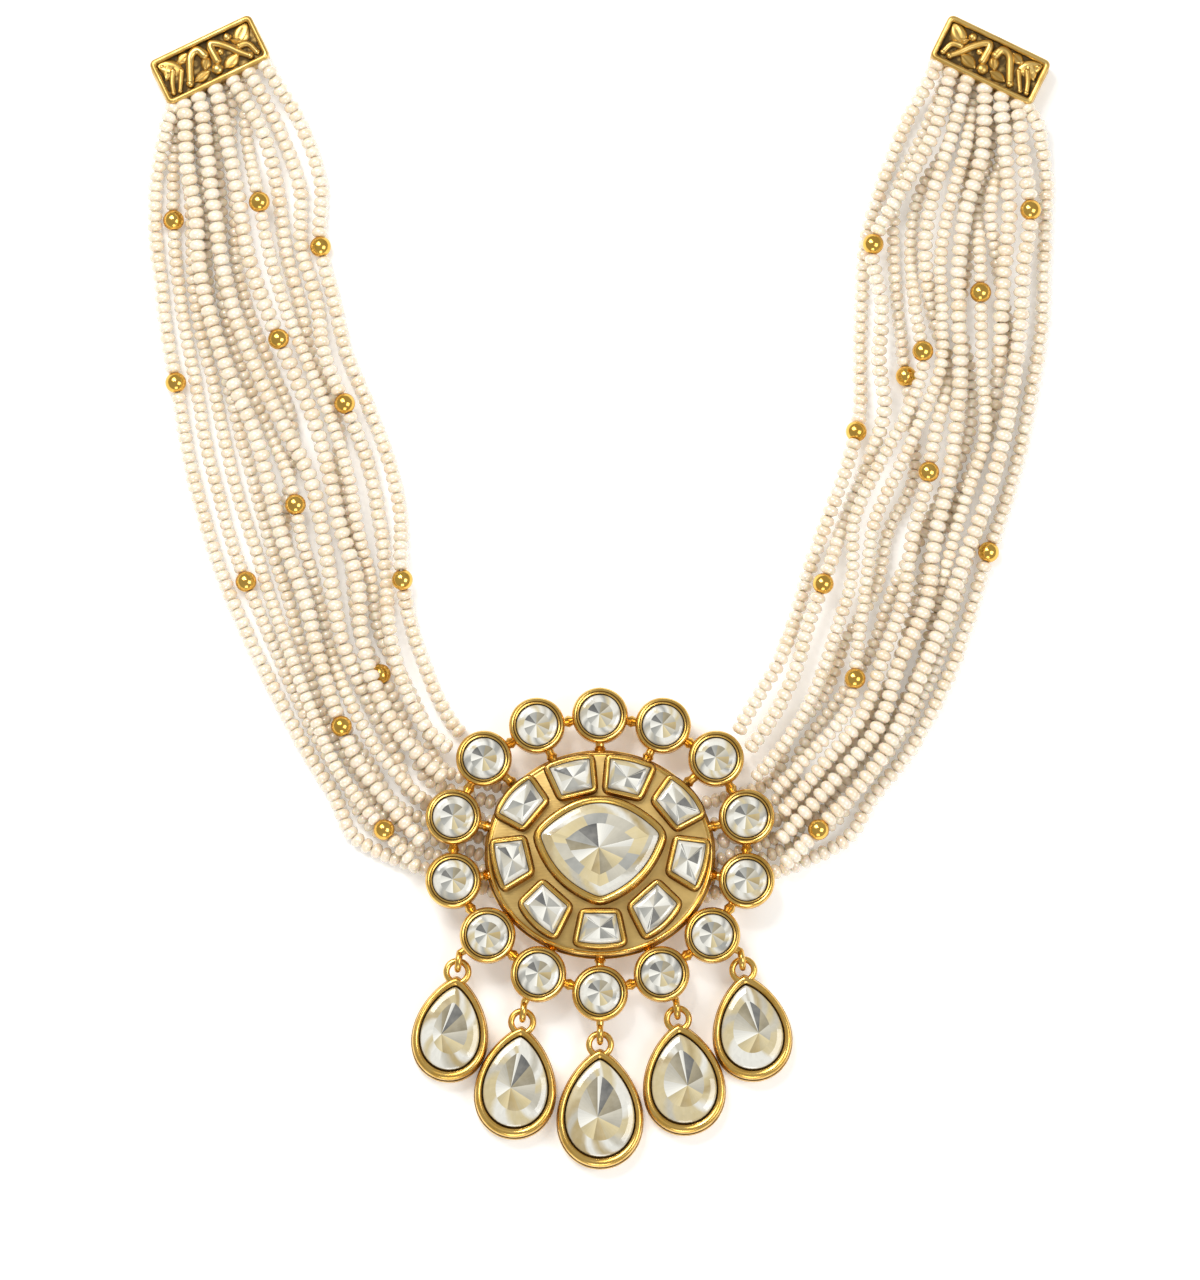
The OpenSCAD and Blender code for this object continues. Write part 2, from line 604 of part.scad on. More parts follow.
// A cut stone: outline at the girdle, a smaller table above and a point below
module cut_stone(girdle, low_z, girdle_z, table_z, part) {
    n = len(girdle);
    middle = [for (c = [0, 1]) let (v = [for (p = girdle) p[c]]) (max(v) + min(v)) / 2];
    table = [for (p = girdle) middle + (p - middle) * part];
    points = concat(
        [for (p = girdle) [p.x, p.y, girdle_z]],
        [for (p = table) [p.x, p.y, table_z]],
        [[middle.x, middle.y, low_z]]);
    color("gainsboro") polyhedron(points, concat(
        [[for (i = [2 * n - 1 : -1 : n]) i]],
        [for (i = [0 : n - 1]) let (j = (i + 1) % n) each [[i, n + j, j], [i, n + i, n + j]]],
        [for (i = [0 : n - 1]) [2 * n, i, (i + 1) % n]]));
}

module centre_stone() {
    cut_stone(inset(centre_outline(), rim_w + seat_gap),
        oval_z + under_gap, centre_z - centre_down, centre_z + high_table_up, table_part);
}

module keystone(number) {
    cut_stone(inset(keystones()[number - 1], rim_w + seat_gap),
        oval_z + under_gap, key_z - keystone_down, key_z + table_up, table_part);
}

module round_stone(number) {
    c = CUPS[number - 1];
    r = cup_bore_r - seat_gap;
    turn = 360 / round_sides;
    cut_stone([for (i = [0 : round_sides - 1]) c + r * [cos(i * turn), sin(i * turn)]],
        cup_floor_z + under_gap, cup_z - round_down, cup_z + table_up, round_table_part);
}

// A pear outline w wide and l long, tip at the origin, pointing up
pear_points = 28;
stone_points = 16;
pear_power = 0.5;
pear_fullness = 0.862;
// How much more a margin takes off a pear's length than off its width
margin_stretch = 1.3;
function pear(w, l, n) = [for (i = [0 : n - 1]) let (a = i * 360 / n)
    [-w / 2 / pear_fullness * sin(a) * pow(sin(a / 2), pear_power), -l / 2 * (1 - cos(a))]];
// The pear's own place under its jump ring
function placed(points, row) = let (a = row[2], tip = row[1] + tip_drop * [sin(a), -cos(a)])
    [for (p = points) tip + [p.x * cos(a) - p.y * sin(a), p.x * sin(a) + p.y * cos(a)]];
function drop_outline(row, margin, n) = let (top = margin_stretch * margin)
    placed([for (p = pear(row[3] - 2 * margin, row[4] - 2 * top, n)) p - [0, top]], row);
pocket_z = 2.4;
// The chamfer's step round a drop's top edge
drop_step_in = 0.3;
drop_step_down = 0.5;
drop_overlap = 0.1;

module drop_setting(number) {
    row = DROPS[number - 1];
    color("goldenrod") {
        difference() {
            union() {
                slab(drop_outline(row, 0, pear_points), 0, drop_z - drop_step_down);
                slab(drop_outline(row, drop_step_in, pear_points),
                    drop_z - drop_step_down - drop_overlap, drop_z);
            }
            slab(drop_outline(row, drop_rim_w, pear_points), pocket_z, drop_z + 1);
        }
        translate([row[1].x, row[1].y, ring_z]) torus(ring_r, ring_wire_r);
    }
}

module drop_stone(number) {
    row = DROPS[number - 1];
    cut_stone(drop_outline(row, drop_rim_w + seat_gap, stone_points),
        pocket_z + under_gap, drop_z - drop_down, drop_z + high_table_up, table_part);
}

strand(strand_a_row);  // strand_a
strand(strand_b_row);  // strand_b
strand(strand_c_row);  // strand_c
strand(strand_d_row);  // strand_d
strand(strand_e_row);  // strand_e
strand(strand_f_row);  // strand_f
strand(strand_g_row);  // strand_g
strand(strand_h_row);  // strand_h
strand(strand_i_row);  // strand_i
strand(strand_j_row);  // strand_j
strand(strand_k_row);  // strand_k
strand(strand_m_row);  // strand_m
strand(strand_n_row);  // strand_n
gold_beads(left);  // gold_beads_left
gold_beads(right);  // gold_beads_right
end_plate(left);  // end_plate_left
end_plate(right);  // end_plate_right
pendant();
centre_stone();
for (i = [1 : 9]) keystone(i);
for (i = [1 : 14]) round_stone(i);
for (i = [1 : 5]) drop_setting(i);
for (i = [1 : 5]) drop_stone(i);
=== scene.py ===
"""Kundan choker: strung pearls, gold beads, cast end plates and a stone set pendant with drops."""

import bisect
import logging
import math
import random
from dataclasses import dataclass, field
from enum import Enum

import bmesh
import bpy
from mathutils import Matrix, Vector


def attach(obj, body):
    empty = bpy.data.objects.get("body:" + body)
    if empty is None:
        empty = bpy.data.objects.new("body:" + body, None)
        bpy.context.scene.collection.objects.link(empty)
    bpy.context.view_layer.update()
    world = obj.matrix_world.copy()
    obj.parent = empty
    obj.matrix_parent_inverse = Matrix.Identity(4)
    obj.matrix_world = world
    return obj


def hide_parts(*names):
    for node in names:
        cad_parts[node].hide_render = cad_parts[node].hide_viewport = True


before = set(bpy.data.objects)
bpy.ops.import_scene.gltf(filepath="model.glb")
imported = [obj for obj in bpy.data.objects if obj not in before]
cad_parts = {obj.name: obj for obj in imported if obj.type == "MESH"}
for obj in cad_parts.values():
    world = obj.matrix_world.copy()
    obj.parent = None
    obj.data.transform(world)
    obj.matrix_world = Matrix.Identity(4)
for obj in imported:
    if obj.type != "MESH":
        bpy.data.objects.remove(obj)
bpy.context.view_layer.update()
LOG = logging.getLogger("necklace")
MM = 0.001
BODY = "root"
UP = Vector((0, 0, 1))
TINY = 1e-6
WELD = 1e-5
ROD_SIDES = 12

Colour = tuple[float, float, float]
Point = tuple[float, float]
Point3 = tuple[float, float, float]


class Side(Enum):
    """The two sides of the neck, seen from the front."""

    LEFT = -1
    RIGHT = 1


class Layer(Enum):
    """The two layers that the strands cross in."""

    LOWER = 0
    UPPER = 1


# Materials


class Wire:
    """A node socket that can be added, subtracted and multiplied like a number."""

    def __init__(self, recipe: "Recipe", socket: bpy.types.NodeSocket) -> None:
        """Keeps the recipe and the socket."""
        self.recipe = recipe
        self.socket = socket

    def math(self, operation: str, first: "Wire | float", second: "Wire | float") -> "Wire":
        """A Math node's result."""
        return self.recipe.node("ShaderNodeMath", {"operation": operation}, {0: first, 1: second})

    def __add__(self, other: "Wire | float") -> "Wire":
        """Sum."""
        return self.math("ADD", self, other)

    def __radd__(self, other: float) -> "Wire":
        """Sum with a number on the left."""
        return self.math("ADD", other, self)

    def __sub__(self, other: "Wire | float") -> "Wire":
        """Difference."""
        return self.math("SUBTRACT", self, other)

    def __rsub__(self, other: float) -> "Wire":
        """Difference from a number."""
        return self.math("SUBTRACT", other, self)

    def __mul__(self, other: "Wire | float") -> "Wire":
        """Product."""
        return self.math("MULTIPLY", self, other)

    def __rmul__(self, other: float) -> "Wire":
        """Product with a number on the left."""
        return self.math("MULTIPLY", other, self)

    def ramp(self, low: float, high: float) -> "Wire":
        """The value stretched so that low gives 0 and high gives 1, held between them."""
        return self.recipe.node("ShaderNodeMapRange", {"clamp": True},
                                {"Value": self, "From Min": low, "From Max": high}, "Result")


class Recipe:
    """A material under construction: its node tree and its principled shader."""

    def __init__(self, name: str) -> None:
        """Starts a material with one principled shader.

        Args:
            name: The material's name.
        """
        self.material = bpy.data.materials.new(name)
        self.material.use_nodes = True
        self.tree = self.material.node_tree
        self.shader = self.tree.nodes["Principled BSDF"]

    def join(self, slot: bpy.types.NodeSocket, value: "Wire | float | Colour") -> None:
        """Links a wire to an input, or sets the input to a number or colour.

        Args:
            slot: The input.
            value: The wire, number or colour.
        """
        if isinstance(value, Wire):
            self.tree.links.new(value.socket, slot)
        elif slot.type == "RGBA":
            slot.default_value = (*value, 1.0)
        else:
            slot.default_value = value

    def node(self, kind: str, settings: dict[str, object], inputs: dict[str | int, "Wire | float | Colour"],
             output: str | int = 0) -> Wire:
        """Adds a node.

        Args:
            kind: Blender's name of the node type.
            settings: The node's own settings, which are made first.
            inputs: The values or links of its sockets.
            output: The output to hand back.

        Returns:
            The chosen output.
        """
        node = self.tree.nodes.new(kind)
        for name, value in settings.items():
            setattr(node, name, value)
        for name, value in inputs.items():
            self.join(node.inputs[name], value)
        return Wire(self, node.outputs[output])

    def place(self) -> Wire:
        """Object coordinates."""
        return self.node("ShaderNodeTexCoord", {}, {}, "Object")

    def noise(self, scale: float, detail: float, vector: Wire | None = None) -> Wire:
        """Noise over the object or the vector, from 0 to 1, scale in cells a metre."""
        return self.node("ShaderNodeTexNoise", {},
                         {"Vector": vector or self.place(), "Scale": scale, "Detail": detail}, "Fac")

    def stretched_noise(self, scale: float, detail: float, stretch: Point3) -> Wire:
        """Noise drawn out along one axis, for brush marks."""
        moved = self.node("ShaderNodeMapping", {}, {"Vector": self.place(), "Scale": stretch})
        return self.noise(scale, detail, moved)

    def attribute(self, name: str, output: str) -> Wire:
        """A value that the mesh carries."""
        return self.node("ShaderNodeAttribute", {"attribute_name": name}, {}, output)

    def blend(self, factor: Wire, low: "Colour | Wire", high: "Colour | Wire") -> Wire:
        """A mixture of two colours."""
        return self.node("ShaderNodeMix", {"data_type": "RGBA"}, {"Factor": factor, "A": low, "B": high},
                         "Result")

    def bump(self, height: Wire, strength: float, distance: float) -> None:
        """Adds a bump to the shader's normal."""
        self.set(Normal=self.node("ShaderNodeBump", {},
                                  {"Height": height, "Strength": strength, "Distance": distance}))

    def set(self, **inputs: "Wire | float | Colour") -> None:
        """Sets or links the shader's own inputs, with _ for a space in a name."""
        for name, value in inputs.items():
            self.join(self.shader.inputs[name.replace("_", " ")], value)


@dataclass(frozen=True)
class GoldFinish:
    """Antique gold: polished where it is rubbed, warmer and duller in patches."""

    name: str
    bright: Colour
    warm: Colour
    rough_low: float = 0.16
    rough_high: float = 0.34
    patch_scale: float = 420.0
    patch_edges: Point = (0.35, 0.68)
    grain_scale: float = 5200.0
    grain_strength: float = 0.02
    grain_depth: float = 0.00004

    def material(self) -> bpy.types.Material:
        """The finish as a material.

        Returns:
            The new material.
        """
        recipe = Recipe(self.name)
        patches = recipe.noise(self.patch_scale, detail=4.0).ramp(*self.patch_edges)
        grain = recipe.noise(self.grain_scale, detail=2.0)
        recipe.set(
            Base_Color=recipe.blend(patches, self.bright, self.warm),
            Metallic=1.0,
            Roughness=self.rough_low + patches * (self.rough_high - self.rough_low),
        )
        recipe.bump(grain, self.grain_strength, self.grain_depth)
        return recipe.material


@dataclass(frozen=True)
class SatinFinish:
    """The oval's brushed face, with fine marks across it and small worn specks."""

    name: str
    bright: Colour
    warm: Colour
    brush_scale: float = 900.0
    brush_stretch: Point3 = (1.0, 5.0, 1.0)
    brush_strength: float = 0.35
    brush_depth: float = 0.00006
    cloud_scale: float = 160.0
    cloud_edges: Point = (0.3, 0.7)
    rough: float = 0.36
    rough_more: float = 0.14

    def material(self) -> bpy.types.Material:
        """The finish as a material.

        Returns:
            The new material.
        """
        recipe = Recipe(self.name)
        brush = recipe.stretched_noise(self.brush_scale, 4.0, self.brush_stretch)
        cloud = recipe.noise(self.cloud_scale, detail=3.0).ramp(*self.cloud_edges)
        recipe.set(
            Base_Color=recipe.blend(cloud, self.bright, self.warm),
            Metallic=1.0,
            Roughness=self.rough + brush * self.rough_more,
        )
        recipe.bump(brush, self.brush_strength, self.brush_depth)
        return recipe.material


@dataclass(frozen=True)
class PatinaFinish:
    """Dark tarnish in the recesses of the castings, with gold showing through in specks; the same dark fills
    the holes' openings as painted shade.
    """

    name: str
    dark: Colour
    gold: Colour
    metallic: float = 0.85
    speck_scale: float = 900.0
    speck_edges: Point = (0.5, 0.8)
    rough: float = 0.62
    speck_gloss: float = 0.25
    pit_scale: float = 2600.0
    pit_strength: float = 0.5
    pit_depth: float = 0.0001

    def material(self) -> bpy.types.Material:
        """The finish as a material.

        Returns:
            The new material.
        """
        recipe = Recipe(self.name)
        specks = recipe.noise(self.speck_scale, detail=4.0).ramp(*self.speck_edges)
        recipe.set(
            Base_Color=recipe.blend(specks, self.dark, self.gold),
            Metallic=self.metallic,
            Roughness=self.rough - specks * self.speck_gloss,
        )
        recipe.bump(recipe.noise(self.pit_scale, detail=3.0), self.pit_strength, self.pit_depth)
        return recipe.material


@dataclass(frozen=True)
class PearlFinish:
    """Lustrous ivory pearl whose tone differs from bead to bead."""

    name: str
    cream: Colour
    pale: Colour
    cloud_scale: float = 700.0
    cloud_share: float = 0.2
    rough: float = 0.22
    rough_more: float = 0.12
    glow: float = 0.3
    glow_radius: Point3 = (1.0, 0.62, 0.34)
    glow_scale: float = 0.0009
    dent_scale: float = 1500.0
    dent_strength: float = 0.25
    dent_depth: float = 0.0001

    def material(self) -> bpy.types.Material:
        """The finish as a material.

        Returns:
            The new material.
        """
        recipe = Recipe(self.name)
        tone = recipe.attribute("tone", "Fac")
        cloud = recipe.noise(self.cloud_scale, detail=2.0)
        share = tone * (1.0 - self.cloud_share) + cloud * self.cloud_share
        recipe.set(
            Base_Color=recipe.blend(share, self.cream, self.pale),
            Roughness=self.rough + cloud * self.rough_more,
            Coat_Weight=1.0,
            Coat_Roughness=0.15,
            Coat_IOR=1.8,
            Specular_IOR_Level=0.6,
            Subsurface_Weight=self.glow,
            Subsurface_Radius=self.glow_radius,
            Subsurface_Scale=self.glow_scale,
        )
        recipe.bump(recipe.noise(self.dent_scale, detail=2.0), self.dent_strength, self.dent_depth)
        return recipe.material


@dataclass(frozen=True)
class ThreadFinish:
    """Pale twisted stringing thread."""

    name: str
    light: Colour
    dark: Colour
    twist_scale: float = 4000.0
    twist_strength: float = 0.4
    twist_depth: float = 0.00005

    def material(self) -> bpy.types.Material:
        """The finish as a material.

        Returns:
            The new material.
        """
        recipe = Recipe(self.name)
        twist = recipe.noise(self.twist_scale, detail=2.0)
        recipe.set(Base_Color=recipe.blend(twist, self.dark, self.light), Roughness=0.8)
        recipe.bump(twist, self.twist_strength, self.twist_depth)
        return recipe.material


@dataclass(frozen=True)
class StoneFinish:
    """Glassy stone over creased foil, whose facets carry the foil's colour with its reflections painted in,
    light and dark from facet to facet.
    """

    name: str
    haze: Colour
    haze_share: float = 0.15
    cloud_scale: float = 520.0
    cloud_edges: Point = (0.35, 0.75)
    rough: float = 0.14
    rough_more: float = 0.1

    def material(self) -> bpy.types.Material:
        """The finish as a material.

        Returns:
            The new material.
        """
        recipe = Recipe(self.name)
        # The mesh's colour holds the foil's colour with its reflections and shade painted in
        foil = recipe.attribute("foil", "Color")
        cloud = recipe.noise(self.cloud_scale, detail=3.0).ramp(*self.cloud_edges)
        recipe.set(
            Base_Color=recipe.blend(cloud * self.haze_share, foil, self.haze),
            Roughness=self.rough + cloud * self.rough_more,
            Coat_Weight=1.0,
            Coat_Roughness=0.02,
            Coat_IOR=1.55,
        )
        return recipe.material


@dataclass(frozen=True)
class FloorFinish:
    """Plain white seamless paper, which glows a little to stay white away from the lights."""

    name: str
    shade: Colour
    white: Colour
    glow_tint: Colour
    glow: float = 0.2

    def material(self) -> bpy.types.Material:
        """The finish as a material.

        Returns:
            The new material.
        """
        recipe = Recipe(self.name)
        fleck = recipe.noise(60.0, detail=2.0)
        recipe.set(Base_Color=recipe.blend(fleck, self.shade, self.white), Roughness=0.85,
                   Emission_Color=self.glow_tint, Emission_Strength=self.glow)
        return recipe.material


@dataclass
class Finishes:
    """Every material of the necklace, made once."""

    gold: bpy.types.Material = field(default_factory=lambda: GoldFinish(
        "polished_gold", (0.86, 0.56, 0.16), (0.62, 0.36, 0.07)).material())
    bead_gold: bpy.types.Material = field(default_factory=lambda: GoldFinish(
        "bead_gold", (0.86, 0.54, 0.12), (0.72, 0.41, 0.07), 0.12, 0.2).material())
    plate_gold: bpy.types.Material = field(default_factory=lambda: GoldFinish(
        "plate_gold", (0.76, 0.52, 0.17), (0.56, 0.35, 0.09), 0.28, 0.44).material())
    satin: bpy.types.Material = field(default_factory=lambda: SatinFinish(
        "satin_gold", (0.59, 0.42, 0.16), (0.40, 0.26, 0.085)).material())
    # Painted shade: near-black gold for the grooves, bezel feet and inner walls where shade falls
    crease_shade: bpy.types.Material = field(default_factory=lambda: GoldFinish(
        "crease_shade_gold", (0.20, 0.10, 0.02), (0.10, 0.045, 0.01), 0.35, 0.5).material())
    # Real tarnish in the plates' sunk fields, and painted shade in their holes' openings
    patina_and_hole_shade: bpy.types.Material = field(default_factory=lambda: PatinaFinish(
        "dark_patina_and_hole_shade", (0.075, 0.046, 0.015), (0.42, 0.27, 0.08)).material())
    pearl: bpy.types.Material = field(default_factory=lambda: PearlFinish(
        "ivory_pearl", (0.83, 0.68, 0.48), (0.91, 0.82, 0.68)).material())
    thread: bpy.types.Material = field(default_factory=lambda: ThreadFinish(
        "string_thread", (0.72, 0.64, 0.50), (0.42, 0.33, 0.22)).material())
    stone: bpy.types.Material = field(default_factory=lambda: StoneFinish(
        "foiled_stone", (0.80, 0.76, 0.66)).material())
    floor: bpy.types.Material = field(default_factory=lambda: FloorFinish(
        "white_paper", (0.93, 0.93, 0.92), (0.95, 0.95, 0.94), (1.0, 0.995, 0.985)).material())


# Mesh tools


def finished(name: str, bm: bmesh.types.BMesh, materials: list[bpy.types.Material],
             nodes: list[str], smooth_deg: float) -> bpy.types.Object:
    """Turns a bmesh into a piece that rides on the necklace and stands for its solids.

    Args:
        name: The piece's name.
        bm: The mesh, which is freed.
        materials: The materials, in the order of the faces' indices.
        nodes: The solids that the piece replaces.
        smooth_deg: Edges sharper than this stay sharp.

    Returns:
        The new object.
    """
    bmesh.ops.recalc_face_normals(bm, faces=bm.faces[:])
    mesh = bpy.data.meshes.new(name)
    bm.to_mesh(mesh)
    bm.free()
    for material in materials:
        mesh.materials.append(material)
    mesh.shade_smooth()
    mesh.set_sharp_from_angle(angle=math.radians(smooth_deg))
    piece = bpy.data.objects.new(name, mesh)
    bpy.context.scene.collection.objects.link(piece)
    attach(piece, BODY)
    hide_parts(*nodes)
    return piece


def fresh(known: set, items: "bmesh.types.BMVertSeq | bmesh.types.BMFaceSeq") -> list:
    """The vertices or faces that weren't known before."""
    return [item for item in items if item not in known]


def tinted(faces: list[bmesh.types.BMFace], material: int) -> None:
    """Gives faces a material."""
    for face in faces:
        face.material_index = material


def facing(centre: Vector, way: Vector) -> Matrix:
    """A frame at centre whose Z axis runs along way and whose X axis lies level.

    Args:
        centre: The frame's origin.
        way: Where Z points.

    Returns:
        The frame as a matrix.
    """
    z_axis = way.normalized()
    x_axis = UP.cross(z_axis)
    if x_axis.length < TINY:
        x_axis = Vector((1, 0, 0))
    x_axis.normalize()
    y_axis = z_axis.cross(x_axis)
    turn = Matrix((x_axis, y_axis, z_axis)).transposed().to_4x4()
    return Matrix.Translation(centre) @ turn


def sweep(bm: bmesh.types.BMesh, path: list[Vector], radii: list[float], sides: int,
          material: int) -> None:
    """Sweeps a round section along a path, closed with caps.

    Args:
        bm: The mesh to add to.
        path: The points along the middle.
        radii: The radius at each point.
        sides: Sides of the section.
        material: Index of the faces' material.
    """
    count = len(path)
    ways = [path[min(i + 1, count - 1)] - path[max(i - 1, 0)] for i in range(count)]
    frames = [facing(path[i], ways[i]) @ Matrix.Scale(radii[i], 4) for i in range(count)]
    known = set(bm.faces)
    ring = bmesh.ops.create_circle(bm, cap_ends=True, segments=sides, radius=1.0, matrix=frames[0])["verts"]
    edges = list({edge for vert in ring for edge in vert.link_edges})
    for i in range(1, count):
        grown = bmesh.ops.extrude_edge_only(bm, edges=edges)["geom"]
        verts = [item for item in grown if isinstance(item, bmesh.types.BMVert)]
        new = set(verts)
        edges = [item for item in grown if isinstance(item, bmesh.types.BMEdge)
                 and item.verts[0] in new and item.verts[1] in new]
        bmesh.ops.transform(bm, matrix=frames[i] @ frames[i - 1].inverted(), verts=verts)
    bmesh.ops.edgeloop_fill(bm, edges=edges)
    tinted(fresh(known, bm.faces), material)


def ball(bm: bmesh.types.BMesh, centre: Vector, radius: float, material: int,
         squash: float = 1.0) -> None:
    """Adds a ball.

    Args:
        bm: The mesh to add to.
        centre: The ball's middle.
        radius: Its radius.
        material: Index of the faces' material.
        squash: How much of its height it keeps.
    """
    known = set(bm.faces)
    bmesh.ops.create_uvsphere(bm, u_segments=ROD_SIDES, v_segments=ROD_SIDES // 2, radius=radius,
                              matrix=Matrix.Translation(centre) @ Matrix.Diagonal((1, 1, squash, 1)))
    tinted(fresh(known, bm.faces), material)


def torus(bm: bmesh.types.BMesh, matrix: Matrix, big: float, small: float, material: int,
          steps: int, sides: int) -> None:
    """Spins a small circle into a ring about the matrix's Z axis.

    Args:
        bm: The mesh to add to.
        matrix: The ring's place.
        big: The radius of the ring's middle line.
        small: The radius of its wire.
        material: Index of the faces' material.
        steps: Steps round the ring.
        sides: Sides of the wire.
    """
    known_verts, known_faces = set(bm.verts), set(bm.faces)
    at = Matrix.Translation((big, 0, 0)) @ Matrix.Rotation(math.radians(90), 4, "X")
    ring = bmesh.ops.create_circle(bm, cap_ends=False, segments=sides, radius=small, matrix=at)["verts"]
    edges = list({edge for vert in ring for edge in vert.link_edges})
    bmesh.ops.spin(bm, geom=list(ring) + edges, cent=(0, 0, 0), axis=(0, 0, 1),
                   angle=math.tau, steps=steps, use_merge=True)
    bmesh.ops.transform(bm, matrix=matrix, verts=fresh(known_verts, bm.verts))
    tinted(fresh(known_faces, bm.faces), material)


def turned(bm: bmesh.types.BMesh, profile: list[tuple[float, float, int]], centre: Vector,
           steps: int) -> None:
    """Spins a profile of (radius, height, material) about a vertical axis through centre.

    Args:
        bm: The mesh to add to.
        profile: Points from the bottom to the end of the profile, the material being that of the
            band that ends there.
        centre: Where the axis meets the surface.
        steps: Steps round the axis.
    """
    known_verts, known_faces = set(bm.verts), set(bm.faces)
    verts = [bm.verts.new((radius, 0, height)) for radius, height, _ in profile]
    edges = [bm.edges.new(pair) for pair in zip(verts, verts[1:])]
    bmesh.ops.spin(bm, geom=verts + edges, cent=(0, 0, 0), axis=(0, 0, 1),
                   angle=math.tau, steps=steps, use_merge=True)
    bmesh.ops.remove_doubles(bm, verts=fresh(known_verts, bm.verts), dist=WELD)
    bands = [((r0 + r1) / 2, (z0 + z1) / 2, material)
             for (r0, z0, _), (r1, z1, material) in zip(profile, profile[1:])]
    for face in fresh(known_faces, bm.faces):
        middle = face.calc_center_median()
        reach = math.hypot(middle.x, middle.y)
        face.material_index = min(bands, key=lambda b: abs(b[0] - reach) + abs(b[1] - middle.z))[2]
    bmesh.ops.transform(bm, matrix=Matrix.Translation(centre), verts=fresh(known_verts, bm.verts))


# Outlines, in millimetres

CORNER_STEPS = 6


def bulged(corners: tuple[Point, ...], bulges: tuple[float, ...], steps: int) -> list[Point]:
    """An outline of corners joined by edges that bulge outwards.

    Args:
        corners: The corners, anticlockwise.
        bulges: How far each edge bulges at its middle.
        steps: Points along an edge.

    Returns:
        The outline's points.
    """
    points = []
    for i, (ax, ay) in enumerate(corners):
        bx, by = corners[(i + 1) % len(corners)]
        length = math.hypot(bx - ax, by - ay)
        for s in range(steps):
            f = s / steps
            out = bulges[i] * 4 * f * (1 - f) / length
            points.append((ax + (bx - ax) * f + (by - ay) * out, ay + (by - ay) * f - (bx - ax) * out))
    return points


def drawn_in(points: list[Point], margin: float) -> list[Point]:
    """Moves every edge of an outline inwards.

    Args:
        points: The outline, anticlockwise.
        margin: How far its edges move.

    Returns:
        The outline's points.
    """
    result = []
    count = len(points)
    for i, (bx, by) in enumerate(points):
        ax, ay = points[i - 1]
        cx, cy = points[(i + 1) % count]
        before = math.hypot(bx - ax, by - ay)
        after = math.hypot(cx - bx, cy - by)
        ux, uy = (ay - by) / before, (bx - ax) / before
        vx, vy = (by - cy) / after, (cx - bx) / after
        scale = margin / (1 + ux * vx + uy * vy)
        result.append((bx + scale * (ux + vx), by + scale * (uy + vy)))
    return result


def eased(points: list[Point], passes: int) -> list[Point]:
    """Rounds an outline's corners by drawing each point to its neighbours.

    Args:
        points: The outline.
        passes: How often it is done.

    Returns:
        The outline's points.
    """
    for _ in range(passes):
        after = points[1:] + points[:1]
        before = points[-1:] + points[:-1]
        points = [((a[0] + 2 * p[0] + b[0]) / 4, (a[1] + 2 * p[1] + b[1]) / 4)
                  for a, p, b in zip(before, points, after)]
    return points


def mirrored(points: list[Point]) -> list[Point]:
    """An outline mirrored across the middle, still anticlockwise."""
    return [(-x, y) for x, y in reversed(points)]


def oval(half_x: float, half_y: float, count: int) -> list[Point]:
    """An ellipse about the origin."""
    return [(half_x * math.cos(math.tau * i / count), half_y * math.sin(math.tau * i / count))
            for i in range(count)]


def rounded(half_x: float, half_y: float, corner: float) -> list[Point]:
    """A rectangle about the origin with round corners.

    Args:
        half_x: Half its width.
        half_y: Half its height.
        corner: The radius of its corners.

    Returns:
        The outline's points, anticlockwise.
    """
    points = []
    for sx, sy, first in ((1, 1, 0), (-1, 1, 90), (-1, -1, 180), (1, -1, 270)):
        for step in range(CORNER_STEPS + 1):
            angle = math.radians(first + 90 / CORNER_STEPS * step)
            points.append((sx * (half_x - corner) + corner * math.cos(angle),
                           sy * (half_y - corner) + corner * math.sin(angle)))
    return points


def stack(bm: bmesh.types.BMesh, outlines: list[tuple[list[Point], float]], materials: list[int],
          floor: bool = True, lid: bool = True) -> list[list[bmesh.types.BMVert]]:
    """Extrudes an outline through a row of outlines, each with its own height.

    Args:
        bm: The mesh to add to.
        outlines: The outlines, with as many points each, and their heights, from the bottom.
        materials: The material of the band up to each next outline, and at the end that of the lid.
        floor: Whether the first outline is filled.
        lid: Whether the last one is.

    Returns:
        The vertices of each outline, in its order.
    """
    first, height = outlines[0]
    ring = [bm.verts.new((x, y, height)) for x, y in first]
    edges = [bm.edges.new((a, b)) for a, b in zip(ring, ring[1:] + ring[:1])]
    rings = [ring]
    if floor:
        bmesh.ops.edgeloop_fill(bm, edges=edges, mat_nr=materials[0])
    for (points, height), material in zip(outlines[1:], materials):
        grown = bmesh.ops.extrude_edge_only(bm, edges=edges)["geom"]
        order = {vert: i for i, vert in enumerate(rings[-1])}
        ring = [None] * len(points)
        for vert in (item for item in grown if isinstance(item, bmesh.types.BMVert)):
            old = next(edge.other_vert(vert) for edge in vert.link_edges
                       if edge.other_vert(vert) in order)
            ring[order[old]] = vert
            x, y = points[order[old]]
            vert.co = Vector((x, y, height))
        for face in (item for item in grown if isinstance(item, bmesh.types.BMFace)):
            face.material_index = material
        new = set(ring)
        edges = [item for item in grown if isinstance(item, bmesh.types.BMEdge)
                 and item.verts[0] in new and item.verts[1] in new]
        rings.append(ring)
    if lid:
        bmesh.ops.edgeloop_fill(bm, edges=edges, mat_nr=materials[-1])
    return rings


# The plan of the strands, in millimetres: it repeats the solids' own routes

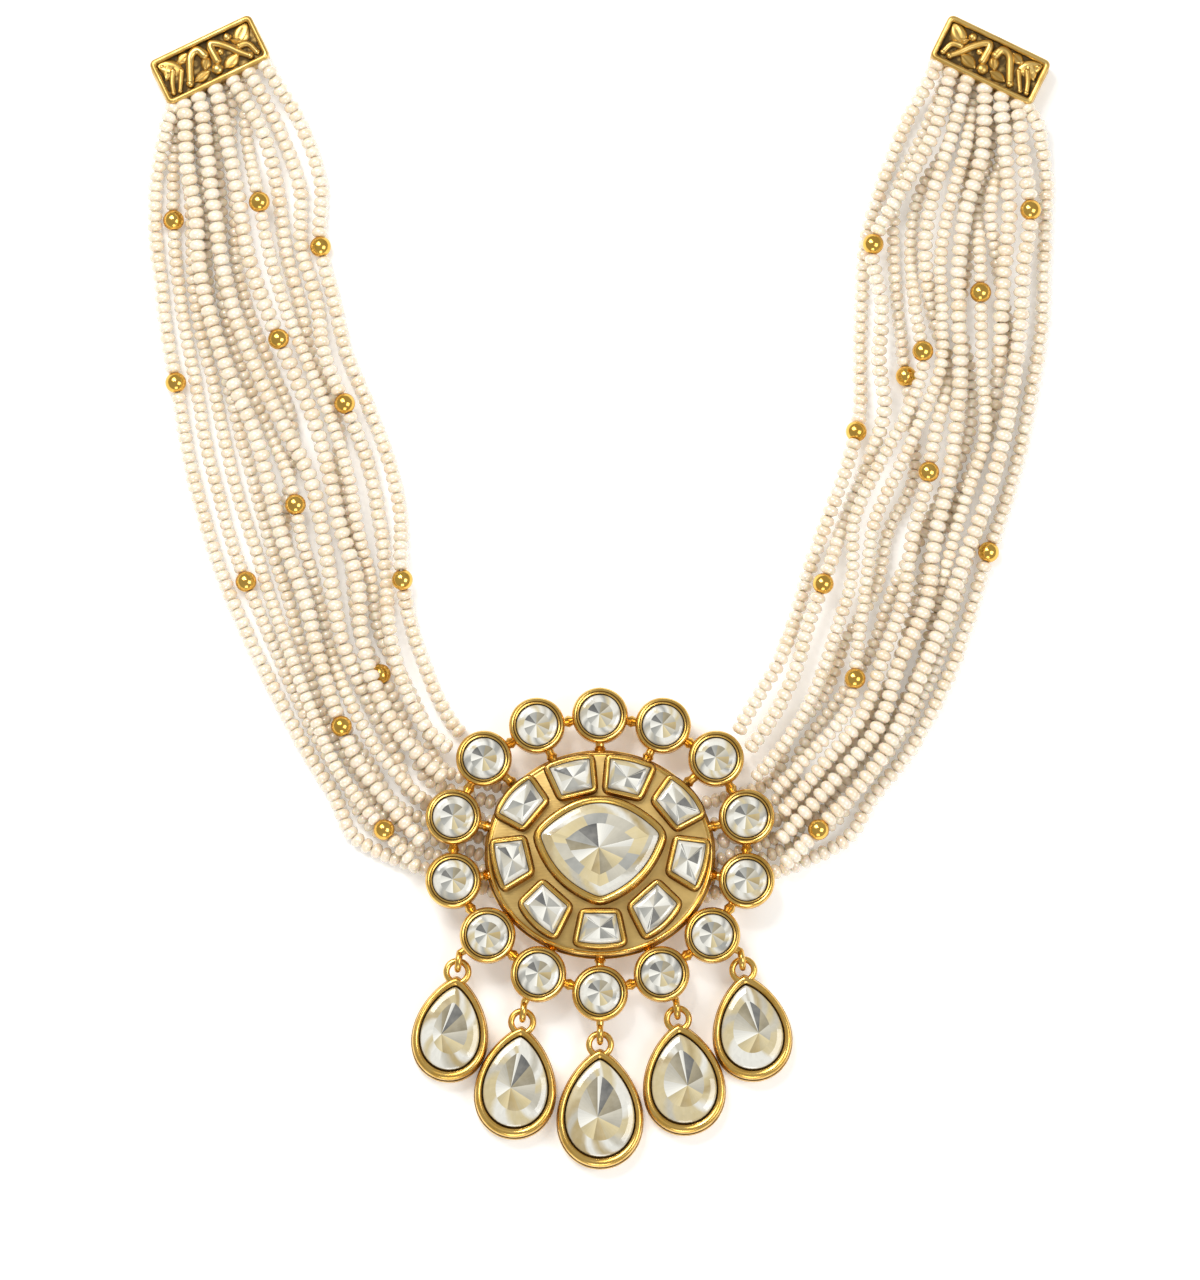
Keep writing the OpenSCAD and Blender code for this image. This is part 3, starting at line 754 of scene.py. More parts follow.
THICK_R = 1.6
MIDDLE_R = 1.48
THIN_R = 1.34
LAYER_Z = {Layer.LOWER: 1.7, Layer.UPPER: 5.1}
GOLD_R = 1.9
GOLD_LIFT = 0.3
LIFT_REACH = 0.7
WAY_STEP = 0.01
LEAD_STEPS = 40
PLATE_X = 69.95
PLATE_Y = 142.75
PLATE_TURN = math.radians(26)
PLATE_L = 20.2
PLATE_W = 8.8
PLATE_T = 6.2
HOLE_HIGH_Z = 4.3


@dataclass(frozen=True)
class HalfPlan:
    """One side of a strand: hole in the plate, distance across and layer at each station, end points."""

    hole: float
    across: tuple[float, ...]
    layers: str
    ends: tuple[Point, ...]


@dataclass(frozen=True)
class StrandPlan:
    """A strand: its beads' radius and its two sides."""

    radius: float
    halves: dict[Side, HalfPlan]


# Stations down each side of the neck: middle x, middle y and the angle of the line across
STATIONS = {
    Side.LEFT: (
        (-66.9, 136.6, 26), (-66, 127, 20), (-65, 117, 15), (-64, 107, 13),
        (-62, 97, 13), (-59.5, 87, 14), (-56.5, 77, 15), (-54, 67, 14),
        (-52, 57, 13), (-50, 47, 15), (-47, 37, 22), (-43, 27, 30),
        (-38, 18, 38), (-33, 10.5, 45),
    ),
    Side.RIGHT: (
        (67.4, 136.5, 26), (66, 127, 20), (64.5, 117, 12), (63, 107, 8),
        (62.5, 97, 6), (61.8, 87, 8), (60.2, 77, 14), (57.5, 67, 18),
        (54.5, 57, 18), (51.5, 47, 20), (48, 37, 24), (43.5, 27, 32),
        (38, 18, 38), (33, 10.5, 45),
    ),
}
STRANDS = {
    "a": StrandPlan(MIDDLE_R, {
        Side.LEFT: HalfPlan(
            -9.3, (-11.9, -14.3, -15.3, -15.1, -15.9, -16.5, -17.8, -17.8, -16.9, -15.0, -13.2, -12.1, -11.8),
            "1000000000000", ((-41.5, 1.8), (-18.2, -6.4))),
        Side.RIGHT: HalfPlan(
            -9.3, (-12.3, -14.9, -15.7, -16.7, -16.7, -15.8, -15.5, -15.4, -14.9, -15.0, -14.9, -14.2, -12.9),
            "1000000000000", ((41.8, 1.6), (18.0, -7.3))),
    }),
    "b": StrandPlan(THIN_R, {
        Side.LEFT: HalfPlan(
            -9.2, (-10.1, -11.2, -11.8, -12.0, -12.5, -13.0, -14.3, -14.2, -13.4, -11.4, -10.0, -9.3, -8.9),
            "0000000000000", ((-39.2, 4.2), (-18.8, -3.4))),
        Side.RIGHT: HalfPlan(
            -2.3, (-2.3, -1.2, -0.8, -2.8, -1.8, -4.5, -5.9, -4.2, -2.5, -0.5, -0.4, 1.3, 2.4),
            "0000000000000", ((32.6, 10.8), (18.2, 5.0))),
    }),
    "c": StrandPlan(THICK_R, {
        Side.LEFT: HalfPlan(
            -7.4, (-8.3, -8.4, -7.6, -7.8, -7.5, -6.6, -5.3, -5.1, -4.6, -2.8, -3.4, -4.3, -5.1),
            "1111111111111", ((-31.4, 2.0),)),
        Side.RIGHT: HalfPlan(
            -7.5, (-8.5, -10.7, -12.8, -12.8, -12.8, -12.2, -12.0, -12.0, -11.2, -10.9, -10.3, -10.5, -9.9),
            "1111111111111", ((32.6, -1.9),)),
    }),
    "d": StrandPlan(THIN_R, {
        Side.LEFT: HalfPlan(
            -7.0, (-7.4, -8.4, -8.5, -9.2, -9.9, -9.9, -10.9, -10.9, -9.7, -8.6, -8.0, -8.2, -8.8),
            "0000000000111", ((-32.4, -2.5),)),
        Side.RIGHT: HalfPlan(
            -7.4, (-7.5, -6.2, -5.5, -8.3, -10.5, -12.6, -12.4, -12.2, -11.8, -12.0, -12.2, -11.4, -10.0),
            "0010000000000", ((39.2, 4.3), (18.9, -4.3))),
    }),
    "e": StrandPlan(THICK_R, {
        Side.LEFT: HalfPlan(
            -4.5, (-5.0, -4.6, -4.2, -3.7, -3.2, -1.8, -0.1, 2.3, 2.6, 2.4, 1.4, 1.9, 1.6),
            "1111111111100", ((-32.6, 10.4), (-18.6, 5.7))),
        Side.RIGHT: HalfPlan(
            -4.3, (-4.9, -7.1, -8.9, -9.4, -9.2, -9.5, -9.0, -7.4, -5.4, -5.4, -5.9, -5.7, -4.2),
            "1111100000000", ((35.0, 8.4), (19.2, 1.7))),
    }),
    "f": StrandPlan(THIN_R, {
        Side.LEFT: HalfPlan(
            0.6, (0.7, -0.3, -0.4, -1.2, -0.6, 0.9, 1.5, -1.6, -4.2, -3.1, -3.5, -4.1, -3.4),
            "0000000000000", ((-35.0, 8.2), (-19.2, 2.6))),
        Side.RIGHT: HalfPlan(
            3.2, (3.2, 3.6, 7.6, 7.4, 6.2, 4.15, 5.9, 8.2, 9.6, 7.1, 6.6, 5.8, 5.3),
            "0000111111111", ((27.4, 13.3),)),
    }),
    "g": StrandPlan(THICK_R, {
        Side.LEFT: HalfPlan(
            -1.3, (-1.6, -0.5, 0.4, 1.2, 2.5, 4.1, 5.4, 5.8, 5.9, 7.0, 5.0, 3.9, 4.1),
            "1111111111111", ((-27.6, 13.4),)),
        Side.RIGHT: HalfPlan(
            -1.0, (-1.6, -2.6, -1.3, -1.2, -1.6, -2.6, -3.4, -4.6, -5.3, -7.0, -6.0, -7.2, -5.9),
            "1111111111111", ((31.8, 2.4),)),
    }),
    "h": StrandPlan(THIN_R, {
        Side.LEFT: HalfPlan(
            3.4, (3.4, 3.0, 4.0, 4.9, 5.8, 7.2, 8.3, 9.1, 8.9, 9.4, 8.2, 9.2, 8.7),
            "0011111110000", ((-27.7, 15.4), (-14.4, 11.6))),
        Side.RIGHT: HalfPlan(
            6.2, (6.2, 8.5, 11.5, 10.5, 9.2, 7.4, 4.5, 1.6, 3.2, 2.4, 4.4, 4.0, 5.6),
            "0000000000000", ((30.2, 13.2), (16.6, 9.0))),
    }),
    "i": StrandPlan(MIDDLE_R, {
        Side.LEFT: HalfPlan(
            2.1, (2.2, 6.2, 7.6, 7.9, 8.5, 8.2, 9.5, 8.0, 7.4, 6.2, 4.9, 6.0, 5.4),
            "1100000000000", ((-29.9, 13.2), (-16.8, 8.9))),
        Side.RIGHT: HalfPlan(
            2.3, (2.4, 3.5, 5.1, 4.95, 3.0, -0.6, 0, -0.8, -1.2, -2.8, -2.8, -3.8, -2.6),
            "1111001111111", ((32.2, 7.2),)),
    }),
    "j": StrandPlan(MIDDLE_R, {
        Side.LEFT: HalfPlan(
            5.3, (5.5, 9.2, 11.6, 10.8, 11.6, 10.6, 11.6, 13.0, 13.0, 12.3, 10.1, 8.8, 8.4),
            "1000011000111", ((-26.6, 18.6),)),
        Side.RIGHT: HalfPlan(
            5.4, (5.5, 6.8, 10.7, 14.4, 12.2, 12.1, 9.7, 10.3, 11.3, 11.5, 11.7, 10.4, 9.7),
            "1111111001111", ((26.4, 18.6),)),
    }),
    "k": StrandPlan(MIDDLE_R, {
        Side.LEFT: HalfPlan(
            8.4, (8.7, 13.2, 15.5, 14.2, 14.6, 14.5, 15.5, 16.7, 16.8, 15.1, 14.1, 13.7, 13.0),
            "1000000001000", ((-24.6, 21.6),)),
        Side.RIGHT: HalfPlan(
            8.5, (8.7, 12.2, 14.5, 15.7, 15.8, 15.5, 14.1, 13.6, 14.1, 14.8, 14.3, 13.8, 13.8),
            "1000000110011", ((24.4, 21.6),)),
    }),
    "m": StrandPlan(THIN_R, {
        Side.LEFT: HalfPlan(
            -2.0, (-2.0, -3.1, -3.0, -4.1, -4.9, -4.2, -2.8, -1.3, -1.2, -0.4, -1.1, -1.2, -0.9),
            "0000000110011", ((-31.4, 9.6),)),
        Side.RIGHT: HalfPlan(
            0.4, (0.4, 0.6, 1.8, 2.1, 1.4, 1.05, 3.1, 4.7, 6.05, 4.3, 2.2, -0.9, 0.4),
            "0111111111111", ((31.0, 11.2),)),
    }),
    "n": StrandPlan(THIN_R, {
        Side.LEFT: HalfPlan(
            -4.5, (-4.7, -5.7, -5.8, -6.7, -7.5, -7.3, -7.9, -7.6, -6.9, -5.7, -6.0, -6.7, -6.0),
            "0000000000000", ((-37.1, 6.2), (-19.2, -0.4))),
        Side.RIGHT: HalfPlan(
            -4.9, (-4.9, -3.7, -3.4, -5.0, -5.6, -6.6, -8.7, -8.4, -8.4, -8.95, -9.7, -8.8, -7.3),
            "0001111110000", ((37.3, 6.2), (19.4, -1.4))),
    }),
}
LEFT_GOLD = (
    ("b", 1.97), ("h", 2.1), ("k", 3.07), ("g", 4.55), ("a", 4.82), ("j", 5.93),
    ("m", 7.42), ("b", 8.5), ("k", 9.2), ("i", 10.72), ("c", 11.2), ("d", 12.5),
)
RIGHT_GOLD = (
    ("c", 1.86), ("j", 2.96), ("n", 3.57), ("f", 4.74), ("h", 5.2), ("k", 6.5),
    ("i", 6.84), ("a", 7.8), ("j", 9.28), ("m", 10.56), ("c", 12.5),
)


@dataclass
class Route:
    """The way of one half of a strand, from its end plate to the pendant, in millimetres."""

    name: str
    side: Side

    def __post_init__(self) -> None:
        """Works out the knots that the route runs through."""
        plan = STRANDS[self.name].halves[self.side]
        self.knots = []
        for (x, y, turn), u, layer in zip(STATIONS[self.side], plan.across, plan.layers):
            angle = math.radians(turn)
            self.knots.append(Vector((x - self.side.value * math.cos(angle) * u,
                                      y + math.sin(angle) * u, LAYER_Z[Layer(int(layer))])))
        last_z = LAYER_Z[Layer(int(plan.layers[-1]))]
        self.knots += [Vector((x, y, last_z)) for x, y in plan.ends]
        golds = LEFT_GOLD if self.side is Side.LEFT else RIGHT_GOLD
        self.beads = [t for name, t in golds if name == self.name]
        self.length = float(len(self.knots) - 1)

    def at(self, t: float) -> Vector:
        """The point at a station, on a smooth curve through the knots.

        Args:
            t: The station's number, or one between two stations.

        Returns:
            The point, lifted a little beside a gold bead.
        """
        last = len(self.knots) - 1
        i = max(0, min(int(math.floor(t)), last - 1))
        f = t - i
        p = [self.knots[min(max(knot, 0), last)] for knot in range(i - 1, i + 3)]
        point = 0.5 * (2 * p[1] + (p[2] - p[0]) * f + (2 * p[0] - 5 * p[1] + 4 * p[2] - p[3]) * f * f
                       + (3 * p[1] - p[0] - 3 * p[2] + p[3]) * f * f * f)
        ease = f * f * (3 - 2 * f)
        near = [GOLD_LIFT * max(0.0, 1 - abs(t - bead) / LIFT_REACH) for bead in self.beads]
        lift = max(near + [0.0])
        point.z = p[1].z + (p[2].z - p[1].z) * (0.5 * f + 0.5 * ease) + lift
        return point

    def start(self) -> list[Vector]:
        """The bare thread in the end plate.

        Returns:
            A point inside the hole and one at its mouth.
        """
        plan = STRANDS[self.name].halves[self.side]
        z = HOLE_HIGH_Z if plan.layers[0] == "1" else LAYER_Z[Layer.LOWER]
        points = []
        for d in (-1.0, 0.0):
            reach = PLATE_W / 2 + d
            x = PLATE_X - plan.hole * math.cos(PLATE_TURN) - reach * math.sin(PLATE_TURN)
            y = PLATE_Y + plan.hole * math.sin(PLATE_TURN) - reach * math.cos(PLATE_TURN)
            points.append(Vector((self.side.value * x, y, z)))
        return points

    def dense(self) -> list[Vector]:
        """Many points along the route.

        Returns:
            The points, from the hole's mouth on.
        """
        count = int(round(self.length / WAY_STEP))
        way = [self.at(i * self.length / count) for i in range(count + 1)]
        mouth = self.start()[1]
        lead = [mouth.lerp(way[0], i / LEAD_STEPS) for i in range(LEAD_STEPS)]
        return lead + way


@dataclass
class PearlStrand:
    """One strand of flattened pearls on its thread, on both sides of the neck."""

    name: str
    finishes: Finishes
    pitch_part: float = 1.25
    flat_part: float = 0.56
    fullness: float = 0.9
    dimple_r: float = 0.05
    dimple: float = 0.8
    overlap: float = 0.3
    bead_room: float = 0.94
    smallest: float = 0.95
    body_part: float = 0.98
    tilt: float = 0.09
    stray: float = 0.06
    tone_shape: Point = (2.2, 1.6)
    thread_r: float = 0.28
    thread_sides: int = 6
    thread_steps: int = 4
    thread: int = 1
    sides: int = 12
    rings: int = 6
    smooth_deg: float = 60.0

    def pearl(self) -> bpy.types.Mesh:
        """One pearl of unit radius, flattened along its hole, with a dimple at each end.

        Returns:
            The pearl's mesh, with room for its tone.
        """
        bm = bmesh.new()
        bmesh.ops.create_uvsphere(bm, u_segments=self.sides, v_segments=self.rings, radius=1.0)
        flat = self.flat_part * self.pitch_part
        for vert in bm.verts:
            reach = math.hypot(vert.co.x, vert.co.y)
            vert.co.z = math.copysign(abs(vert.co.z) ** self.fullness, vert.co.z) * flat
            if reach < self.dimple_r:
                vert.co.z *= self.dimple
        mesh = bpy.data.meshes.new("pearl_form")
        bm.to_mesh(mesh)
        bm.free()
        mesh.attributes.new("tone", "FLOAT", "POINT")
        return mesh

    def places(self, route: Route, radius: float) -> list[tuple[Vector, Vector]]:
        """Where the pearls of one half sit.

        Args:
            route: The half's route.
            radius: The pearls' radius.

        Returns:
            The middle and the direction of each pearl.
        """
        way = route.dense()
        arcs = [0.0]
        for a, b in zip(way, way[1:]):
            arcs.append(arcs[-1] + (b - a).length)
        golds = [route.at(t) for t in route.beads]
        stops = sorted(min(range(len(way)), key=lambda i: (way[i] - gold).length) for gold in golds)
        room = GOLD_R * self.bead_room
        gaps = [arcs[i] + sign * room for i in stops for sign in (-1, 1)]
        edges = [-self.overlap] + gaps + [arcs[-1]]
        places = []
        for low, high in zip(edges[::2], edges[1::2]):
            count = max(1, round((high - low) / (self.pitch_part * radius)))
            for k in range(count):
                i = min(bisect.bisect_left(arcs, low + (k + 0.5) * (high - low) / count), len(way) - 1)
                places.append((way[i], (way[i] - way[i - 1] if i else way[1] - way[0]).normalized()))
        return places

    def build(self) -> bpy.types.Object:
        """The strand as one piece.

        Returns:
            The new object.
        """
        rng = random.Random("strand " + self.name)
        radius = STRANDS[self.name].radius
        form = self.pearl()
        bm = bmesh.new()
        corners = len(form.vertices)
        for side in Side:
            route = Route(self.name, side)
            for middle, way in self.places(route, radius):
                size = radius * rng.uniform(self.smallest, 1.0)
                tip = way + Vector([rng.uniform(-self.tilt, self.tilt) for _ in range(3)])
                shift = Vector([rng.uniform(-self.stray, self.stray) for _ in range(2)] + [0])
                spin = Matrix.Rotation(rng.uniform(0, math.tau), 4, "Z")
                shape = Matrix.Diagonal((size, size, radius * self.body_part, 1))
                place = facing(middle + shift, tip) @ spin @ shape
                tone = rng.betavariate(*self.tone_shape)
                form.attributes["tone"].data.foreach_set("value", [tone] * corners)
                form.transform(place)
                bm.from_mesh(form)
                form.transform(place.inverted())
            steps = int(route.length * self.thread_steps)
            path = route.start() + [route.at(i / self.thread_steps) for i in range(steps + 1)]
            sweep(bm, path, [self.thread_r] * len(path), self.thread_sides, self.thread)
        bmesh.ops.scale(bm, vec=(MM, MM, MM), verts=bm.verts[:])
        bpy.data.meshes.remove(form)
        return finished("pearls_" + self.name, bm, [self.finishes.pearl, self.finishes.thread],
                        ["strand_" + self.name], self.smooth_deg)


@dataclass
class GoldBeads:
    """The bored gold beads on one side of the neck."""

    side: Side
    finishes: Finishes
    bore_r: float = 0.5
    bore_part: float = 0.9
    lip_r: float = 0.72
    arc_steps: int = 14
    round_steps: int = 28
    chord: float = 0.1
    smooth_deg: float = 50.0

    def bead(self, bm: bmesh.types.BMesh, middle: Vector, way: Vector) -> None:
        """One bead: a spun ball with a turned-in lip round its bore.

        Args:
            bm: The mesh to add to.
            middle: The bead's middle.
            way: The direction of its bore.
        """
        known = set(bm.verts)
        profile = [(self.bore_r, part * GOLD_R) for part in (-self.bore_part, 0.0, self.bore_part)]
        start = math.asin(self.lip_r / GOLD_R)
        outer = [start + (math.pi - 2 * start) * i / self.arc_steps for i in range(self.arc_steps + 1)]
        profile += [(GOLD_R * math.sin(a), GOLD_R * math.cos(a)) for a in outer]
        verts = [bm.verts.new((r, 0, z)) for r, z in profile]
        edges = [bm.edges.new(pair) for pair in zip(verts, verts[1:] + verts[:1])]
        bmesh.ops.spin(bm, geom=verts + edges, cent=(0, 0, 0), axis=(0, 0, 1), angle=math.tau,
                       steps=self.round_steps, use_merge=True)
        bmesh.ops.transform(bm, matrix=facing(middle, way), verts=fresh(known, bm.verts))

    def build(self) -> bpy.types.Object:
        """The side's beads as one piece.

        Returns:
            The new object.
        """
        bm = bmesh.new()
        side = self.side.name.lower()
        for name, t in LEFT_GOLD if self.side is Side.LEFT else RIGHT_GOLD:
            route = Route(name, self.side)
            self.bead(bm, route.at(t), route.at(t + self.chord) - route.at(t - self.chord))
        bmesh.ops.scale(bm, vec=(MM, MM, MM), verts=bm.verts[:])
        return finished("polished_beads_" + side, bm, [self.finishes.bead_gold],
                        ["gold_beads_" + side], self.smooth_deg)


# An end plate's border from its back, as distance in from the edge and height, in millimetres
PLATE_EDGE = (
    (0.3, 0.0), (0.08, 0.1), (0.0, 0.35), (0.0, PLATE_T - 0.6), (0.06, PLATE_T - 0.34),
    (0.2, PLATE_T - 0.14), (0.38, PLATE_T - 0.03), (0.56, PLATE_T), (0.74, PLATE_T - 0.05),
    (0.88, PLATE_T - 0.18), (0.96, PLATE_T - 0.4), (1.0, PLATE_T - 0.7),
)
# Its leaves, as middle, turn in degrees, length and width, outer end at -X
LEAVES = (
    (-7.0, 1.8, -38, 5.2, 3.4), (-7.4, 1.5, 50, 4.0, 2.6), (-4.2, 2.4, 20, 2.8, 2.2),
    (-0.8, -0.2, 60, 2.8, 2.1), (-2.4, -2.1, 10, 3.5, 2.2), (3.5, -1.9, 20, 3.8, 2.6),
    (7.2, 1.8, 40, 4.6, 3.3), (6.0, 0.9, -35, 2.8, 1.6),
)
# Its stems, as points and width
STEMS = (
    (((-6.8, 1.0), (-7.8, -0.6), (-8.4, -2.6)), 1.25),
    (((-5.4, 0.4), (-6.3, -1.2), (-7.2, -2.8)), 1.1),
    (((-0.5, 1.2), (-1.0, 2.8), (-2.8, 2.4), (-3.8, 0.2), (-5.0, -2.4)), 1.8),
    (((1.2, -0.7), (1.0, 2.8), (2.4, 2.3), (4.2, 0.6), (5.4, -1.0), (6.9, -2.5)), 1.6),
    (((5.9, 0.0), (7.6, -0.1), (8.3, -2.4)), 1.4),
)
# Its berries, as middle and radius
BERRIES = ((0.6, -2.1, 1.1), (4.6, 2.4, 0.8), (2.4, 0.5, 0.6), (-8.2, 2.6, 0.5))
BERRY_SQUASH = 0.7


@dataclass
class EndPlate:
    """A cast end plate: rolled border, dark sunk field, raised scrolls, and the holes for the threads."""

    side: Side
    finishes: Finishes
    corner_r: float = 1.1
    corner_least: float = 0.35
    corner_part: float = 0.7
    field_in: float = 1.02
    field_z: float = 5.0
    stem_up: float = 0.25
    stem_taper: float = 0.3
    stem_knob: float = 1.25
    leaf_rise: float = 0.75
    leaf_groove: float = 0.28
    groove_part: float = 0.22
    leaf_sink: float = 0.1
    lip_out: float = 0.12
    eyelet_r: float = 0.6
    eyelet_wire: float = 0.16
    eyelet_sides: int = 16
    eyelet_sunk: float = 0.08
    tunnel_r: float = 1.0
    tunnel_wire: float = 0.18
    tunnel_sides: int = 24
    tunnel_out: float = 0.05
    tunnel_at: Point = (2.2, 2.5)
    wire_sides: int = 8
    smooth_deg: float = 40.0
    gold: int = 0
    dark: int = 1

    def slab(self, bm: bmesh.types.BMesh) -> None:
        """The plate's body, with its rounded border and sunk field.

        Args:
            bm: The mesh to add to.
        """
        outlines = []
        for d, z in PLATE_EDGE + ((self.field_in, self.field_z),):
            corner = max(self.corner_least, self.corner_r - d * self.corner_part)
            outlines.append((rounded(PLATE_L / 2 - d, PLATE_W / 2 - d, corner), z))
        stack(bm, outlines, [self.gold] * 11 + [self.dark] * 2)

    def stroke(self, bm: bmesh.types.BMesh, points: tuple[Point, ...], width: float) -> None:
        """A raised stem along a bent line, thinner towards its last point.

        Args:
            bm: The mesh to add to.
            points: The line's corners, which are rounded.
            width: The stem's width at its thickest.
        """
        line = [Vector((x, y, self.field_z + self.stem_up)) for x, y in points]
        for _ in range(3):
            cut = [point for a, b in zip(line, line[1:]) for point in (a.lerp(b, 0.25), a.lerp(b, 0.75))]
            line = [line[0]] + cut + [line[-1]]
        last = len(line) - 1
        radii = [width / 2 * (1.0 - self.stem_taper * i / last) for i in range(last + 1)]
        sweep(bm, line, radii, ROD_SIDES, self.gold)
        ball(bm, line[0], radii[0], self.gold)
        ball(bm, line[-1], radii[-1] * self.stem_knob, self.gold)

    def leaf(self, bm: bmesh.types.BMesh, x: float, y: float, turn: float, length: float,
             width: float) -> None:
        """A pointed leaf with a sunk midrib.

        Args:
            bm: The mesh to add to.
            x: Its middle, along the plate.
            y: Its middle, across the plate.
            turn: Its turn in degrees.
            length: Its length.
            width: Its width.
        """
        known_verts, known_faces = set(bm.verts), set(bm.faces)
        bmesh.ops.create_grid(bm, x_segments=12, y_segments=6, size=1.0)
        new = fresh(known_verts, bm.verts)
        for vert in new:
            u, v = vert.co.x, vert.co.y
            breadth = max(0.02, max(0.0, 1 - u * u) ** 0.8)
            rise = self.leaf_rise * max(0.0, 1 - v * v) ** 0.5 * breadth ** 0.4
            groove = self.leaf_groove * math.exp(-(v / self.groove_part) ** 2) * breadth
            vert.co = Vector((u * length / 2, v * breadth * width / 2, rise - groove - self.leaf_sink))
        place = Matrix.Translation((x, y, self.field_z)) @ Matrix.Rotation(math.radians(turn), 4, "Z")
        bmesh.ops.transform(bm, verts=new, matrix=place)
        tinted(fresh(known_faces, bm.faces), self.gold)

    def scrolls(self, bm: bmesh.types.BMesh) -> None:
        """The raised leaves, stems and berries.

        Args:
            bm: The mesh to add to.
        """
        for x, y, turn, length, width in LEAVES:
            self.leaf(bm, x, y, turn, length, width)
        for points, width in STEMS:
            self.stroke(bm, points, width)
        for x, y, r in BERRIES:
            ball(bm, Vector((x, y, self.field_z + self.stem_up)), r, self.gold, BERRY_SQUASH)

    def mouth(self, bm: bmesh.types.BMesh, at: Matrix, radius: float, wire: float, sides: int,
              out: float) -> None:
        """A rolled lip round an opening, whose middle is a disc painted dark as the hole's shade.

        Args:
            bm: The mesh to add to.
            at: The opening's place, its Z axis pointing out of the plate.
            radius: The opening's radius.
            wire: The radius of its lip.
            sides: Sides of the opening.
            out: How far the disc of painted shade lies out of the place.
        """
        torus(bm, at, radius, wire, self.gold, sides, self.wire_sides)
        # A disc painted dark stands in for the shade inside the hole
        known = set(bm.faces)
        bmesh.ops.create_circle(bm, cap_ends=True, segments=sides, radius=radius,
                                matrix=at @ Matrix.Translation((0, 0, out)))
        tinted(fresh(known, bm.faces), self.dark)

    def holes(self, bm: bmesh.types.BMesh) -> None:
        """An eyelet round each thread, on the inner long side.

        Args:
            bm: The mesh to add to.
        """
        for plan in STRANDS.values():
            half = plan.halves[self.side]
            z = HOLE_HIGH_Z if half.layers[0] == "1" else LAYER_Z[Layer.LOWER]
            at = facing(Vector((half.hole, self.lip_out - PLATE_W / 2, z)), Vector((0, -1, 0)))
            self.mouth(bm, at, self.eyelet_r, self.eyelet_wire, self.eyelet_sides, -self.eyelet_sunk)

    def tunnel_mouths(self, bm: bmesh.types.BMesh) -> None:
        """A lip round each end of the tunnel for the tie cord.

        Args:
            bm: The mesh to add to.
        """
        for end in (-1, 1):
            middle = Vector((end * (PLATE_L / 2 - self.lip_out), *self.tunnel_at))
            self.mouth(bm, facing(middle, Vector((end, 0, 0))), self.tunnel_r, self.tunnel_wire,
                       self.tunnel_sides, self.tunnel_out)

    def build(self) -> bpy.types.Object:
        """The plate as one piece in its place.

        Returns:
            The new object.
        """
        bm = bmesh.new()
        self.slab(bm)
        self.scrolls(bm)
        self.holes(bm)
        self.tunnel_mouths(bm)
        s = self.side.value
        turn = Matrix.Rotation(-s * PLATE_TURN, 4, "Z") @ Matrix.Diagonal((-s, 1, 1, 1))
        place = Matrix.Translation((s * PLATE_X, PLATE_Y, 0)) @ turn
        bmesh.ops.transform(bm, matrix=Matrix.Scale(MM, 4) @ place, verts=bm.verts[:])
        side = self.side.name.lower()
        return finished("cast_plate_" + side, bm, [self.finishes.plate_gold, self.finishes.patina_and_hole_shade],
                        ["end_plate_" + side], self.smooth_deg)


# The pendant's plan, in millimetres

CUPS = (
    (0.0, 24.6), (11.2, 22.8), (20.6, 16.9), (26.0, 6.5), (26.0, -4.8), (19.9, -14.5), (10.9, -21.4),
    (0.0, -24.8), (-10.9, -21.4), (-19.9, -14.5), (-26.0, -4.8), (-26.0, 6.5), (-20.6, 16.9), (-11.2, 22.8),
)
HALF_KEYSTONES = (
    (((0.5, 10.9), (7.3, 9.3), (10.1, 15.5), (1.1, 17.6)), (0.0, 0.0, 0.5, 0.0)),
    (((13.5, 3.8), (18.9, 6.7), (12.3, 14.2), (8.9, 9.35)), (0.0, 1.0, 0.0, 0.0)),
    (((11.6, -3.6), (17.2, -7.0), (19.6, 2.4), (13.2, 3.2)), (0.0, 0.6, 0.0, 0.0)),
    (((4.7, -9.3), (7.8, -15.5), (14.7, -8.8), (10.2, -4.4)), (0.0, 0.9, 0.0, 0.0)),
)
LOW_KEYSTONE = (((-4.85, -16.3), (4.85, -16.3), (3.5, -9.9), (-3.5, -9.9)), (0.7, 0.0, 0.0, 0.0))
CENTRE = (((0.0, -9.2), (12.0, 3.7), (-12.0, 3.7)), (2.4, 6.4, 2.4))
EDGE_STEPS = 12
CORNER_EASE = 3
RING_TO_TIP = 0.6
PEAR_FULL = 0.862
PEAR_ENDS = 1.3
FACE_Z = 6.98


@dataclass(frozen=True)
class DropPlan:
    """A drop: the cup it hangs from, its jump ring, its turn in degrees, its size and its stone's star."""

    cup: int
    ring: Point
    turn: float
    width: float
    length: float
    star: Point

    def way(self) -> Vector:
        """The direction from the ring down the drop."""
        turn = math.radians(self.turn)
        return Vector((math.sin(turn), -math.cos(turn), 0))

    def tip(self) -> Vector:
        """The pear's upper end, on the surface that the necklace lies on."""
        return Vector((*self.ring, 0)) + self.way() * RING_TO_TIP


DROPS = (
    DropPlan(9, (-25.3, -20.8), -6.6, 13.7, 19.0, (-28.1, -31.9)),
    DropPlan(8, (-13.8, -29.7), -5.7, 14.65, 20.2, (-15.8, -41.4)),
    DropPlan(7, (0.0, -33.7), 0.0, 15.5, 21.4, (-0.4, -46.6)),
    DropPlan(6, (13.8, -29.2), 5.3, 14.75, 20.0, (15.5, -41.0)),
    DropPlan(5, (25.4, -20.5), 7.9, 14.2, 19.2, (28.1, -31.7)),
)


